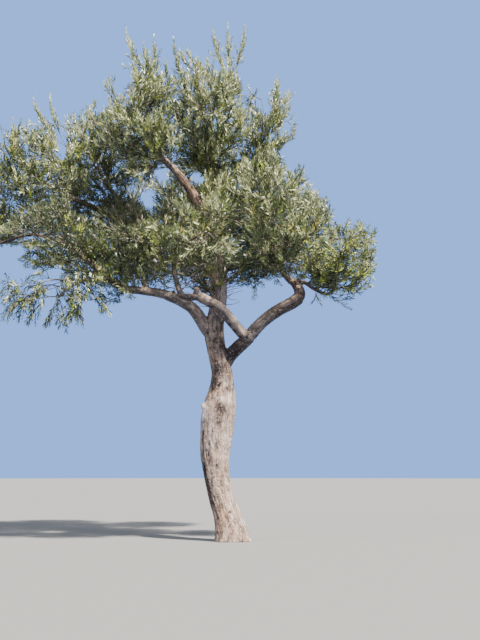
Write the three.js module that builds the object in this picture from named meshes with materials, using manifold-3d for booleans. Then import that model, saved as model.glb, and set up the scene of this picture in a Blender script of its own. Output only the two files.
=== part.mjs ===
// An olive tree rooted in level ground: a leaning trunk that forks into boughs, and the masses of foliage
// that the boughs carry. Millimetres, +Z up. The viewpoint looks along +Y, with +X to its right. The origin
// is the middle of the flat cut under the trunk.

import * as THREE from "three";
import { mergeVertices } from "three/addons/utils/BufferGeometryUtils.js";
import Module from "manifold-3d";

const wasm = await Module();
wasm.setup();

// Driving dimensions of the limbs
const GAP = 0.3; // clearance between two solids that meet
const TRUNK_SIDES = 14;
const BOUGH_SIDES = 7;
const BOUGH_STEPS = 1.15; // rings for each station of a bough's route
const FLARE = 62; // how far the root flare stands out at the ground
const FLARE_HEIGHT = 150; // height over which the flare dies away
const FLARE_EVEN = 0.55; // share of the flare that is the same all round
const FLARE_LEAN = 0.45; // share that stands out on the leaning side
const FLARE_LEAN_WAY = -0.25; // angle of the leaning side from +X
const FLARE_LOBE = 0.3; // share that comes and goes in three lobes
const FLARE_LOBE_WAY = -0.2; // angle of the first lobe from +X

// Driving dimensions of the foliage
const STEM_SIDES = 5;
const STEM_STEPS = 4;
const STEM_TAPER = 0.42; // radius of a stem at its heart, as a share of its radius at the bough
const STEM_BEND = 0.4; // how far a stem keeps its bough's direction, as a share of its length
const STEM_NODES = [0.3, 0.45, 0.6, 0.75, 0.88, 1]; // shares of a stem where twigs may leave
const TWIGS = 7; // twigs in a mass of middling size
const TWIG_SIDES = 3;
const TWIG_STEPS = 2;
const TWIG_RADIUS = 10;
const TWIG_TIP = 0.5; // radius of a twig's tip, as a share of its radius at the root
const TWIG_NODES = [0.35, 0.6, 0.85]; // shares of a twig where later twigs may leave
const TWIG_CHECKS = [0.4, 0.55, 0.7, 0.85, 1]; // shares of a twig that must lie clear
const TWIG_CLEARANCE = 18; // least way from a twig's axis to a limb's skin
const TIP_TURN = 0.2; // how far a twig's tip turns up or down, as a share of its length
const SPRAY_LENGTH = 420; // a spray of leaves, drawn as one blade
const SPRAY_WIDTH = 0.42; // share of the spray's length
const SPRAY_THICKNESS = 0.04; // share of the spray's length
const SPRAY_WIDEST = 0.45; // where a spray is widest, as a share of its length
const SPRAY_TURN = 0.75; // angle between a spray and its twig, in radians
const SPRAY_CUTS = [1, 0.8, 0.62]; // lengths that are tried where a whole spray finds no room
const SPRAY_CLEARANCE = 8; // least way from a spray's corner to a limb's skin
const TWIG_SPRAYS = [0.35, 0.55, 0.72, 0.92]; // shares of a twig where side sprays leave
const LAST_SPRAY = 0.5; // most of a twig that its last spray may take over
const TIP_SUNK = 1.4; // how deep the last spray is rooted, in radii of the twig
const SPROUT_SPRAYS = [0.55, 0.75, 0.95]; // shares of a sprout where side sprays leave
const SPROUT_SPRAY = 0.7; // length of a sprout's sprays, as a share of the others'
const SPROUT_SLIM = 0.6; // width of a sprout's sprays and their turn, as a share of the others'
const SPROUT_RISE = 0.8; // how soon a sprout stands upright: 1 for at once
const SIZE_SPREAD = 0.2; // how far a spray's length strays from its middle, as a share
const TURN_SPREAD = 0.3; // the same for its angle
const SPIN_SPREAD = 0.3; // how far a twig strays from its even place round its mass, in radians
const REACH = 0.97; // share of a mass's radius that its furthest twigs reach
const REACH_SPREAD = 0.07; // how far that strays, as a share
const DRAWN_IN = [1, 0.86, 0.72, 0.58]; // shares of its reach that a twig tries in turn
const EDGE = 0.03; // strip kept free between two masses, as a share of their radii
const PATH_WEIGHT = 0.35; // how much a twig prefers to leave its mass's stem near the root
const TURN_WEIGHT = 0.3; // how much a twig prefers to leave its parent forwards
const GOLDEN_ANGLE = Math.PI * (3 - Math.sqrt(5));
const CHECK_STEPS = 16; // points along a limb or stem that foliage is measured from
const VIEWPOINT = new THREE.Vector3(100, -8000, 640);

const UP = new THREE.Vector3(0, 0, 1);

// Colours and finishes
const bark = new THREE.MeshStandardMaterial({ color: 0x8d7d6c, roughness: 0.92, metalness: 0 });
const youngBark = new THREE.MeshStandardMaterial({ color: 0x77695b, roughness: 0.88, metalness: 0 });
const foliage = new THREE.MeshStandardMaterial({ color: 0x7a8660, roughness: 0.6, metalness: 0 });

// The trunk's stations from the ground up: height, middle x, middle y, radius.
const TRUNK = [
  [0, 0, 0, 128],
  [90, 2, 0, 128],
  [200, -16, 2, 124],
  [330, -56, 4, 121],
  [480, -95, 6, 120],
  [700, -130, 6, 129],
  [950, -128, 4, 147],
  [1180, -108, 0, 156],
  [1330, -86, 0, 133],
  [1440, -74, 0, 108],
  [1540, -74, 0, 95],
  [1660, -98, 0, 91],
  [1790, -128, 0, 89],
  [1920, -146, 0, 93],
  [2050, -140, 0, 90],
];

// The boughs, each a route of x, y, z and radius from inside its parent to its tip.
const BOUGHS = {
  leader: {
    parent: "trunk",
    route: [
      [-140, 0, 2000, 88],
      [-112, 0, 2160, 83],
      [-100, 0, 2370, 80],
      [-100, 0, 2600, 76],
      [-135, -30, 2840, 70],
      [-250, -100, 3080, 58],
      [-380, -170, 3290, 52],
      [-510, -250, 3440, 45],
      [-640, -320, 3555, 38],
    ],
  },
  right_bough: {
    parent: "trunk",
    route: [
      [-74, 0, 1560, 60],
      [-15, 0, 1680, 66],
      [80, -10, 1785, 65],
      [170, -20, 1870, 62],
      [245, -40, 1960, 58],
      [335, -50, 2045, 57],
      [470, -80, 2135, 57],
      [600, -100, 2200, 58],
      [662, -102, 2246, 57],
    ],
  },
  right_crook: {
    parent: "right_bough",
    route: [
      [640, -100, 2228, 50],
      [668, -102, 2275, 54],
      [655, -100, 2340, 47],
      [618, -100, 2388, 38],
      [566, -100, 2425, 31],
      [520, -100, 2485, 26],
      [490, -105, 2560, 23],
    ],
  },
  right_side_branch: {
    parent: "right_crook",
    route: [
      [630, -100, 2370, 22],
      [700, -120, 2395, 21],
      [790, -150, 2330, 19],
      [880, -175, 2275, 17],
    ],
  },
  crossing_bough: {
    parent: "right_bough",
    route: [
      [200, -30, 1880, 50],
      [140, -100, 1890, 53],
      [20, -200, 2010, 51],
      [-80, -262, 2115, 49],
      [-230, -322, 2190, 46],
      [-305, -350, 2222, 42],
    ],
  },
  crossing_crook: {
    parent: "crossing_bough",
    route: [
      [-280, -340, 2210, 34],
      [-370, -378, 2196, 32],
      [-432, -398, 2208, 30],
      [-455, -402, 2262, 27],
      [-475, -405, 2320, 25],
      [-500, -420, 2400, 22],
    ],
  },
  left_bough: {
    parent: "trunk",
    route: [
      [-170, 0, 1900, 64],
      [-235, -30, 1990, 64],
      [-350, -80, 2150, 58],
      [-520, -150, 2235, 51],
      [-680, -200, 2275, 43],
      [-830, -250, 2285, 38],
      [-990, -300, 2300, 35],
      [-1130, -330, 2390, 31],
      [-1220, -350, 2465, 28],
    ],
  },
  left_spur: {
    parent: "left_bough",
    route: [
      [-760, -225, 2280, 26],
      [-800, -225, 2365, 27],
      [-815, -225, 2450, 24],
      [-830, -225, 2530, 22],
    ],
  },
  skirt_branch: {
    parent: "left_bough",
    route: [
      [-1040, -312, 2335, 18],
      [-1130, -400, 2350, 18],
      [-1240, -450, 2345, 16],
    ],
  },
  far_left_branch: {
    parent: "left_bough",
    route: [
      [-1030, -305, 2320, 22],
      [-1110, -240, 2410, 23],
      [-1250, -190, 2540, 23],
      [-1420, -170, 2640, 22],
      [-1620, -160, 2770, 21],
      [-1820, -110, 2858, 20],
      [-2010, -100, 2850, 18],
      [-2180, -100, 2785, 17],
    ],
  },
  left_high_bough: {
    parent: "leader",
    route: [
      [-100, 0, 2600, 48],
      [-200, 120, 2710, 50],
      [-420, 200, 2840, 46],
      [-820, 220, 3010, 40],
      [-1120, 170, 3120, 34],
      [-1400, 100, 3220, 29],
    ],
  },
  shoulder_branch: {
    parent: "left_high_bough",
    route: [
      [-700, 218, 2960, 28],
      [-860, 300, 3110, 30],
      [-1060, 370, 3300, 27],
      [-1220, 410, 3470, 23],
    ],
  },
  top_bough: {
    parent: "leader",
    route: [
      [-125, -20, 2800, 50],
      [-90, 40, 2930, 54],
      [-110, 80, 3170, 48],
      [-170, 110, 3400, 42],
      [-200, 120, 3600, 37],
    ],
  },
  top_right_branch: {
    parent: "top_bough",
    route: [
      [-98, 62, 3050, 34],
      [10, 110, 3200, 35],
      [130, 140, 3360, 31],
      [220, 150, 3520, 27],
    ],
  },
  back_left_bough: {
    parent: "leader",
    route: [
      [-100, 10, 2520, 42],
      [-200, 160, 2620, 46],
      [-430, 440, 2730, 40],
      [-800, 780, 2870, 31],
    ],
  },
  back_bough: {
    parent: "leader",
    route: [
      [-100, 10, 2700, 42],
      [-110, 160, 2820, 44],
      [-180, 420, 2970, 38],
      [-270, 760, 3160, 31],
    ],
  },
  back_right_bough: {
    parent: "leader",
    route: [
      [-100, 10, 2540, 42],
      [20, 140, 2620, 44],
      [200, 400, 2730, 38],
      [420, 660, 2860, 31],
    ],
  },
};

// The masses of foliage. Each keeps to an ellipsoid, given by its middle and its three radii. lift says how
// its twigs' tips turn: up above 0 and down below it. share says how many twigs it has for its size, and
// spray how long its sprays are. sprouts are the tips of long upright shoots.
const MASSES = {
  foliage_top: {
    bough: "top_bough", seed: 11, middle: [-195, 100, 4080], radii: [540, 640, 640],
    lift: 0.9, share: 1.3, spray: 1,
    sprouts: [[-568, 0, 4905], [-345, 60, 4775], [-175, 90, 5095], [-25, 120, 5140], [150, 80, 5110]],
  },
  foliage_top_left: {
    bough: "leader", seed: 22, middle: [-880, -100, 4010], radii: [480, 600, 550],
    lift: 0.9, share: 1.2, spray: 1,
    sprouts: [[-1045, -80, 4985], [-870, -60, 4830], [-760, -140, 4860]],
  },
  foliage_top_right: {
    bough: "top_right_branch", seed: 33, middle: [320, 170, 3900], radii: [350, 520, 530],
    lift: 0.9, share: 0.9, spray: 0.95, sprouts: [[475, 160, 4570], [592, 150, 4405]],
  },
  foliage_left_high: {
    bough: "left_high_bough", seed: 44, middle: [-1850, 20, 3450], radii: [560, 640, 540],
    lift: 0.9, share: 1.2, spray: 1,
    sprouts: [[-1765, -150, 4235], [-1945, -60, 4245], [-2165, 10, 4035]],
  },
  foliage_left_shoulder: {
    bough: "shoulder_branch", seed: 55, middle: [-1400, 480, 3850], radii: [450, 540, 520],
    lift: 0.9, share: 0.9, spray: 1, sprouts: [[-1280, 430, 4520], [-1490, 440, 4330]],
  },
  foliage_left_tip: {
    bough: "far_left_branch", seed: 66, middle: [-2230, -120, 2960], radii: [280, 400, 300],
    lift: 0.8, share: 0.6, spray: 0.8, sprouts: [],
  },
  foliage_left_low: {
    bough: "left_bough", seed: 77, middle: [-1560, -480, 2740], radii: [520, 520, 350],
    lift: 0.3, share: 1, spray: 0.95, sprouts: [],
  },
  foliage_left_skirt: {
    bough: "skirt_branch", seed: 88, middle: [-1540, -480, 2180], radii: [560, 400, 300],
    lift: -0.9, share: 0.8, spray: 0.7, sprouts: [],
  },
  foliage_centre: {
    bough: "left_spur", seed: 99, middle: [-850, -420, 2930], radii: [480, 500, 400],
    lift: 0.5, share: 1, spray: 0.95, sprouts: [],
  },
  foliage_front: {
    bough: "crossing_crook", seed: 110, middle: [-240, -680, 2720], radii: [460, 460, 350],
    lift: 0.4, share: 0.9, spray: 0.9, sprouts: [],
  },
  foliage_right: {
    bough: "right_crook", seed: 121, middle: [370, -240, 2980], radii: [600, 620, 570],
    lift: 0.8, share: 1.3, spray: 1, sprouts: [],
  },
  foliage_right_low: {
    bough: "right_side_branch", seed: 132, middle: [1050, -220, 2600], radii: [420, 460, 340],
    lift: 0.3, share: 0.8, spray: 0.85, sprouts: [],
  },
  foliage_back_left: {
    bough: "back_left_bough", seed: 143, middle: [-1150, 1040, 3110], radii: [640, 560, 520],
    lift: 0.6, share: 0.9, spray: 1.05, sprouts: [],
  },
  foliage_back: {
    bough: "back_bough", seed: 154, middle: [-400, 1140, 3520], radii: [600, 520, 580],
    lift: 0.8, share: 1, spray: 1.05, sprouts: [],
  },
  foliage_back_right: {
    bough: "back_right_bough", seed: 165, middle: [600, 920, 3150], radii: [560, 560, 520],
    lift: 0.6, share: 0.9, spray: 1.05, sprouts: [],
  },
};

// Places kept open towards the viewpoint, each from one x, z to another with a half width, all in the
// plane y = 0. Where before is given, only what lies nearer to the viewpoint than that y is kept away.
const OPENINGS = [
  { from: [-700, 3545], to: [-640, 3480], half: 75 },
  { from: [-830, 3300], to: [-790, 3200], half: 85 },
  { from: [-350, 3510], to: [-290, 3440], half: 75 },
  { from: [-2260, 2700], to: [-1990, 2730], half: 85 },
  { from: [-660, 3570], to: [-240, 3080], half: 75, before: -60 },
];

// A seeded run of numbers from 0 to 1.
function random(seed) {
  let state = seed >>> 0;
  return () => {
    state = (Math.imul(state, 1664525) + 1013904223) >>> 0;
    return state / 2 ** 32;
  };
}

// 1, give or take as much as the spread.
function vary(next, spread) {
  return 1 + spread * (2 * next() - 1);
}

// Puts rings of points, all with the same number of corners, into one closed skin with a cap at each end.
function skin(rings) {
  const sides = rings[0].length;
  const positions = rings.flat().flatMap((p) => [p.x, p.y, p.z]);
  const faces = [];
  for (let ring = 0; ring + 1 < rings.length; ring++)
    for (let side = 0; side < sides; side++) {
      const a = ring * sides + side;
      const b = ring * sides + ((side + 1) % sides);
      faces.push(a, b, b + sides, a, b + sides, a + sides);
    }
  const last = (rings.length - 1) * sides;
  for (let side = 1; side + 1 < sides; side++) {
    faces.push(0, side + 1, side);
    faces.push(last, last + side, last + side + 1);
  }
  const geometry = new THREE.BufferGeometry();
  geometry.setAttribute("position", new THREE.Float32BufferAttribute(positions, 3));
  geometry.setIndex(faces);
  return geometry;
}

// The turn that stands a level ring square to a curve, without twist along it.
function frameAt(curve, share) {
  const first = curve.getTangentAt(0);
  const level = new THREE.Quaternion().setFromUnitVectors(UP, first);
  return new THREE.Quaternion().setFromUnitVectors(first, curve.getTangentAt(share)).multiply(level);
}

// The way out from a curve at an angle round it.
function spokeAt(curve, share, angle) {
  return new THREE.Vector3(Math.cos(angle), Math.sin(angle), 0).applyQuaternion(frameAt(curve, share));
}

// A round tapering limb: rings square to its curve from the start to the end share. grow widens it evenly.
function limbSkin(curve, radiusAt, sides, steps, { grow = 0, end = 1 } = {}) {
  const rings = Array.from({ length: steps + 1 }, (_, step) => {
    const share = (end * step) / steps;
    const tangent = curve.getTangentAt(share);
    const middle = curve.getPointAt(share);
    if (step === 0) middle.addScaledVector(tangent, -grow);
    if (step === steps) middle.addScaledVector(tangent, grow);
    return Array.from({ length: sides }, (_, side) =>
      spokeAt(curve, share, (2 * Math.PI * side) / sides)
        .multiplyScalar(radiusAt(share) + grow / Math.cos(Math.PI / sides))
        .add(middle),
    );
  });
  return skin(rings);
}

// The trunk: level rings from the flat cut at the ground, with the root flare in three lobes.
function trunkSkin(grow = 0) {
  const flareAt = (angle) =>
    FLARE_EVEN +
    FLARE_LEAN * Math.cos(angle - FLARE_LEAN_WAY) +
    FLARE_LOBE * Math.cos(3 * (angle - FLARE_LOBE_WAY));
  const rings = TRUNK.map(([height, x, y, radius], station) => {
    const flare = FLARE * Math.exp(-height / FLARE_HEIGHT);
    const end = station === TRUNK.length - 1 ? grow : station === 0 ? -grow : 0;
    return Array.from({ length: TRUNK_SIDES }, (_, side) => {
      const angle = (2 * Math.PI * side) / TRUNK_SIDES;
      const reach = radius + flare * flareAt(angle) + grow / Math.cos(Math.PI / TRUNK_SIDES);
      return new THREE.Vector3(x + reach * Math.cos(angle), y + reach * Math.sin(angle), height + end);
    });
  });
  return skin(rings);
}

// Points spaced along a curve with the limb's radius there, for measuring how near foliage comes.
function checkLine(curve, radiusAt) {
  const points = curve.getSpacedPoints(CHECK_STEPS);
  return points.map((point, i) => ({ point, radius: radiusAt(i / CHECK_STEPS) }));
}

// A bough's curve through the stations of its route, and its radius along it.
function describeBough({ route }) {
  const curve = new THREE.CatmullRomCurve3(route.map(([x, y, z]) => new THREE.Vector3(x, y, z)));
  const radiusAt = (share) => {
    const place = curve.getUtoTmapping(share) * (route.length - 1);
    const station = Math.min(Math.floor(place), route.length - 2);
    return THREE.MathUtils.lerp(route[station][3], route[station + 1][3], place - station);
  };
  return { curve, radiusAt, steps: Math.ceil(route.length * BOUGH_STEPS), line: checkLine(curve, radiusAt) };
}

// A closed mesh as a solid that can be joined and cut.
function solidOf(geometry) {
  const merged = mergeVertices(geometry, 1e-3);
  const vertProperties = merged.attributes.position.array;
  return new wasm.Manifold(
    new wasm.Mesh({ numProp: 3, vertProperties, triVerts: new Uint32Array(merged.index.array) }),
  );
}

// The largest body of a solid, which drops loose scraps and fills sealed hollows.
function largest(solid) {
  return solid.decompose().reduce((best, body) => (body.volume() > best.volume() ? body : best));
}

// A solid back as a named mesh of the tree.
function meshOf(name, solid, material) {
  const { vertProperties, triVerts } = solid.getMesh();
  const geometry = new THREE.BufferGeometry();
  geometry.setAttribute("position", new THREE.BufferAttribute(vertProperties, 3));
  geometry.setIndex(new THREE.BufferAttribute(triVerts, 1));
  geometry.computeVertexNormals();
  const mesh = new THREE.Mesh(geometry, material);
  mesh.name = name;
  return mesh;
}

// Each limb's solid, and the same limb grown by the gap, which cuts what meets it.
const described = Object.fromEntries(Object.entries(BOUGHS).map(([name, b]) => [name, describeBough(b)]));

function limbSolid(name, grow = 0) {
  if (name === "trunk") return solidOf(trunkSkin(grow));
  const { curve, radiusAt, steps } = described[name];
  return solidOf(limbSkin(curve, radiusAt, BOUGH_SIDES, steps, { grow }));
}

// A bough, cut clear of the trunk and of every bough that is named before it.
function trimmedBough(name, place, names) {
  const earlier = ["trunk", ...names.slice(0, place)].map((limb) => limbSolid(limb, GAP));
  return largest(limbSolid(name).subtract(wasm.Manifold.union(earlier)));
}

// A stem runs on from its bough's tip to the heart of its mass.
function describeStem({ bough, middle }) {
  const { curve, radiusAt } = described[bough];
  const way = curve.getTangentAt(1);
  const root = curve.getPointAt(1).addScaledVector(way, GAP);
  const heart = new THREE.Vector3(...middle);
  const bend = root.clone().addScaledVector(way, root.distanceTo(heart) * STEM_BEND);
  const stem = new THREE.QuadraticBezierCurve3(root, bend, heart);
  const rootRadius = radiusAt(1);
  const stemRadiusAt = (share) => rootRadius * THREE.MathUtils.lerp(1, STEM_TAPER, share);
  return { curve: stem, radiusAt: stemRadiusAt, line: checkLine(stem, stemRadiusAt) };
}

const stems = Object.fromEntries(Object.entries(MASSES).map(([name, m]) => [name, describeStem(m)]));

// Every limb and stem as short straight pieces, each with the name of what it belongs to.
function pieces(owner, line) {
  return line.slice(1).map(({ point, radius }, i) => ({
    owner,
    line: new THREE.Line3(line[i].point, point),
    radius: Math.max(radius, line[i].radius),
    length: point.distanceTo(line[i].point),
  }));
}

const trunkLine = TRUNK.map(([z, x, y, radius]) => ({ point: new THREE.Vector3(x, y, z), radius }));
const limbPieces = [
  ...pieces("trunk", trunkLine),
  ...Object.entries(described).flatMap(([name, bough]) => pieces(name, bough.line)),
  ...Object.entries(stems).flatMap(([name, stem]) => pieces(name, stem.line)),
];

// How far out of a mass's middle a point is: 1 on the ellipsoid.
function depthIn({ middle, radii }, point) {
  return Math.hypot(...point.toArray().map((value, axis) => (value - middle[axis]) / radii[axis]));
}

// True where a point comes nearer than the clearance to a limb, or to a stem other than its own.
function nearLimb(name, point, clearance) {
  const nearest = new THREE.Vector3();
  return limbPieces.some(({ owner, line, radius, length }) => {
    if (owner === name) return false;
    const least = radius + clearance;
    if (line.start.distanceToSquared(point) > (least + length) ** 2) return false;
    return line.closestPointToPoint(point, true, nearest).distanceTo(point) < least;
  });
}

// True where a point, as seen from the viewpoint, falls in a place that is kept open.
function inOpening(point) {
  const seen = VIEWPOINT.clone().lerp(point, -VIEWPOINT.y / (point.y - VIEWPOINT.y));
  const nearest = new THREE.Vector3();
  return OPENINGS.some(({ from, to, half, before = Infinity }) => {
    const line = new THREE.Line3(new THREE.Vector3(from[0], 0, from[1]), new THREE.Vector3(to[0], 0, to[1]));
    return point.y < before && line.closestPointToPoint(seen, true, nearest).distanceTo(seen) < half;
  });
}

// True where a mass may put a twig or spray: nearer to its own middle than to any other mass's, inside its
// own space unless it is a sprout's, clear of every limb and other stem, and in no opening.
function mayGrow(name, point, clearance, sprout = false) {
  const own = depthIn(MASSES[name], point);
  const others = Object.keys(MASSES).filter((other) => other !== name);
  if (own > 1 && !sprout) return false;
  if (others.some((other) => depthIn(MASSES[other], point) < own + EDGE)) return false;
  return !inOpening(point) && !nearLimb(name, point, clearance);
}

// Places along a grown stem or twig from which later twigs may leave, each with the widest that a twig may
// be there and still have its root inside.
function nodesAlong({ curve, radiusAt }, shares, sides, path) {
  const length = curve.getLength();
  return shares.map((share) => ({
    point: curve.getPointAt(share),
    way: curve.getTangentAt(share),
    path: path + length * share,
    room: radiusAt(share) * Math.cos(Math.PI / sides),
  }));
}

// The node that a twig to a target leaves from: near it, near the root, and not turned away from it.
function bestNode(nodes, target) {
  const cost = ({ point, way, path }) => {
    const toTarget = target.clone().sub(point);
    const length = toTarget.length();
    return length * (1 + TURN_WEIGHT * (1 - toTarget.dot(way) / length)) + PATH_WEIGHT * path;
  };
  return nodes.reduce((best, node) => (cost(node) < cost(best) ? node : best));
}

// The targets of a mass's twigs: spread evenly round its middle by the golden angle, each drawn in until it
// lies in the mass's own space, and then the tips of its sprouts.
function twigTargets(name, next) {
  const { middle, radii, share, sprouts } = MASSES[name];
  const count = Math.round(TWIGS * share);
  const targets = [];
  for (let k = 0; k < count; k++) {
    const height = 1 - (2 * k + 1) / count;
    const round = Math.sqrt(1 - height * height);
    const angle = k * GOLDEN_ANGLE + SPIN_SPREAD * (2 * next() - 1);
    const reach = (REACH * vary(next, REACH_SPREAD)) / (1 + REACH_SPREAD);
    const spoke = [round * Math.cos(angle), round * Math.sin(angle), height];
    const target = DRAWN_IN.map((drawn) => {
      return new THREE.Vector3(...spoke.map((s, axis) => middle[axis] + s * radii[axis] * reach * drawn));
    }).find((point) => mayGrow(name, point, SPRAY_CLEARANCE));
    if (target) targets.push({ target, sprout: false });
  }
  return [...targets, ...sprouts.map((tip) => ({ target: new THREE.Vector3(...tip), sprout: true }))];
}

// A twig's curve. A sprout leaves outwards and then rises straight. Another twig's tip turns up or down with
// the mass's lift.
function twigCurve(node, target, lift, sprout) {
  const bend = node.point.clone().lerp(target, 0.5);
  if (sprout) bend.lerp(new THREE.Vector3(target.x, target.y, bend.z), SPROUT_RISE);
  else bend.addScaledVector(UP, -TIP_TURN * lift * node.point.distanceTo(target));
  return new THREE.QuadraticBezierCurve3(node.point, bend, target);
}

// The twigs of a mass, each leaving its stem or an earlier twig.
function describeTwigs(name, next) {
  const nodes = nodesAlong(stems[name], STEM_NODES, STEM_SIDES, 0);
  const twigs = [];
  for (const { target, sprout } of twigTargets(name, next)) {
    const node = bestNode(nodes, target);
    const curve = twigCurve(node, target, MASSES[name].lift, sprout);
    const checks = TWIG_CHECKS.map((share) => curve.getPointAt(share));
    if (!checks.every((point) => mayGrow(name, point, TWIG_CLEARANCE, sprout))) continue;
    const radius = Math.min(TWIG_RADIUS, node.room);
    const twig = { curve, sprout, radiusAt: (share) => radius * THREE.MathUtils.lerp(1, TWIG_TIP, share) };
    if (!sprout) nodes.push(...nodesAlong(twig, TWIG_NODES, TWIG_SIDES, node.path));
    twigs.push(twig);
  }
  return twigs;
}

// A blade that stands for a spray of leaves: eight faces round its own axis, widest before the middle.
function sprayPoints(root, way, flat, length, slim) {
  const side = new THREE.Vector3().crossVectors(way, flat).normalize();
  const face = new THREE.Vector3().crossVectors(side, way).normalize();
  const widest = root.clone().addScaledVector(way, SPRAY_WIDEST * length);
  const corners = [
    [side, SPRAY_WIDTH * slim],
    [face, SPRAY_THICKNESS],
    [side, -SPRAY_WIDTH * slim],
    [face, -SPRAY_THICKNESS],
  ].map(([out, size]) => widest.clone().addScaledVector(out, (size * length) / 2));
  return [root, root.clone().addScaledVector(way, length), ...corners];
}

function spraySolid(points) {
  const geometry = new THREE.BufferGeometry();
  geometry.setAttribute("position", new THREE.Float32BufferAttribute(points.flatMap((p) => p.toArray()), 3));
  geometry.setIndex([0, 2, 3, 0, 3, 4, 0, 4, 5, 0, 5, 2, 1, 3, 2, 1, 4, 3, 1, 5, 4, 1, 2, 5]);
  return solidOf(geometry);
}

// True where every corner of a spray, and its middle line, may grow.
function sprayFits(name, points, sprout) {
  const [root, tip, ...corners] = points;
  const middle = [0.25, 0.7, 1].map((share) => root.clone().lerp(tip, share));
  return [...corners, ...middle].every((point) => mayGrow(name, point, SPRAY_CLEARANCE, sprout));
}

// A twig with its sprays: the twig stops where its last spray takes over, and the others leave the middles
// of its faces in turn.
function twigSolids(name, { curve, radiusAt, sprout }, next) {
  const length = curve.getLength();
  const slim = sprout ? SPROUT_SLIM : 1;
  const sprayLength = SPRAY_LENGTH * (sprout ? SPROUT_SPRAY : MASSES[name].spray);
  const last = Math.min(sprayLength * vary(next, SIZE_SPREAD), length * LAST_SPRAY);
  const end = 1 - last / length;
  const faceAngle = (i) => (Math.PI * (2 * i + 1)) / TWIG_SIDES;
  const root = curve.getPointAt(end - (TIP_SUNK * radiusAt(end)) / length);
  const way = curve.getPointAt(1).sub(root);
  const level = spokeAt(curve, end, Math.PI / 2);
  const blades = [sprayPoints(root, way.clone().normalize(), level, way.length(), slim)];
  (sprout ? SPROUT_SPRAYS : TWIG_SPRAYS).forEach((share, i) => {
    const along = curve.getTangentAt(share * end);
    const out = spokeAt(curve, share * end, faceAngle(i));
    const turn = SPRAY_TURN * slim * vary(next, TURN_SPREAD);
    const sideWay = along.multiplyScalar(Math.cos(turn)).addScaledVector(out, Math.sin(turn));
    const flat = new THREE.Vector3(next() - 0.5, next() - 0.5, next() - 0.5);
    const wanted = sprayLength * vary(next, SIZE_SPREAD);
    const fit = SPRAY_CUTS.map((cut) => {
      return sprayPoints(curve.getPointAt(share * end), sideWay, flat, wanted * cut, slim);
    });
    blades.push(...fit.filter((points) => sprayFits(name, points, sprout)).slice(0, 1));
  });
  return [solidOf(limbSkin(curve, radiusAt, TWIG_SIDES, TWIG_STEPS, { end })), ...blades.map(spraySolid)];
}

// One mass: its stem, its twigs and their sprays in one, cut clear of every limb.
function growMass(name, limbs) {
  const next = random(MASSES[name].seed);
  const { curve, radiusAt } = stems[name];
  const twigs = describeTwigs(name, next);
  const solids = [
    solidOf(limbSkin(curve, radiusAt, STEM_SIDES, STEM_STEPS)),
    ...twigs.flatMap((twig) => twigSolids(name, twig, next)),
  ];
  return largest(wasm.Manifold.union(solids).subtract(limbs));
}

const tree = new THREE.Group();
tree.name = "olive_tree";
tree.add(meshOf("trunk", limbSolid("trunk"), bark));
Object.keys(BOUGHS).forEach((name, place, names) => {
  tree.add(meshOf(name, trimmedBough(name, place, names), youngBark));
});
const limbs = wasm.Manifold.union(["trunk", ...Object.keys(BOUGHS)].map((name) => limbSolid(name, GAP)));
for (const name of Object.keys(MASSES)) tree.add(meshOf(name, growMass(name, limbs), foliage));

export default tree;
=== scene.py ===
import math
from functools import lru_cache
from itertools import product

import bmesh
import bpy
import numpy as np
from bpy.props import FloatProperty, FloatVectorProperty, IntProperty, PointerProperty
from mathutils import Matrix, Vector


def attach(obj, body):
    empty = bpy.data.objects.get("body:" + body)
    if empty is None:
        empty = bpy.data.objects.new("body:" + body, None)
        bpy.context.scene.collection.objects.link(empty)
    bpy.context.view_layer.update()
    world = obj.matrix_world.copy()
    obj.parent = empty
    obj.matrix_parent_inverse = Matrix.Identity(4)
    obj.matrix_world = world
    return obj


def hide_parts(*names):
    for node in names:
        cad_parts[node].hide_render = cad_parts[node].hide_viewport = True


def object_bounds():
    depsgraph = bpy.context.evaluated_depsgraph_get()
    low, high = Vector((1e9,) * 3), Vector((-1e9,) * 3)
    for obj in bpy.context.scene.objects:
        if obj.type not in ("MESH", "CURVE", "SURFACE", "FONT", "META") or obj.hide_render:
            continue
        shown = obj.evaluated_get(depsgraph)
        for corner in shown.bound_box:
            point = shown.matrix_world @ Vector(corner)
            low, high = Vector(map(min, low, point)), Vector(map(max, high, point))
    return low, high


bl_info = {
    "name": "Olive tree",
    "version": (1, 0, 0),
    "blender": (4, 5, 0),
    "location": "3D View > Sidebar > Olive tree",
    "description": "Dresses the limbs of an olive tree with bark, twigs and leaves",
    "category": "Add Mesh",
}

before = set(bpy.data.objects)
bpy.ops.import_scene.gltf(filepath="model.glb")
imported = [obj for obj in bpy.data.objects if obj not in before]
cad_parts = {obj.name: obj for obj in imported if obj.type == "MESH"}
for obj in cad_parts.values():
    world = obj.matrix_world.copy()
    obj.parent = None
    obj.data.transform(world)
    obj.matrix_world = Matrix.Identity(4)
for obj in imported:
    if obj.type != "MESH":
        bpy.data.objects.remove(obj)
CAD_BOX = np.array(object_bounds())

UP = np.array([0.0, 0.0, 1.0])
GOLDEN_ANGLE = math.pi * (3 - math.sqrt(5))

# The camera's place, its rise in degrees, and its focal length and frame height in pixels. The growth keeps
# places open towards the viewpoint, which the source rounds.
CAMERA_PLACE = (0.1005, -8.0, 0.6405)
CAMERA_RISE = 10
FOCAL_LENGTH = 850
FRAME_HEIGHT = 640
SENSOR = 36
CAMERA_END = 200
VIEWPOINT = np.array([0.1, -8.0, 0.64])

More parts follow.
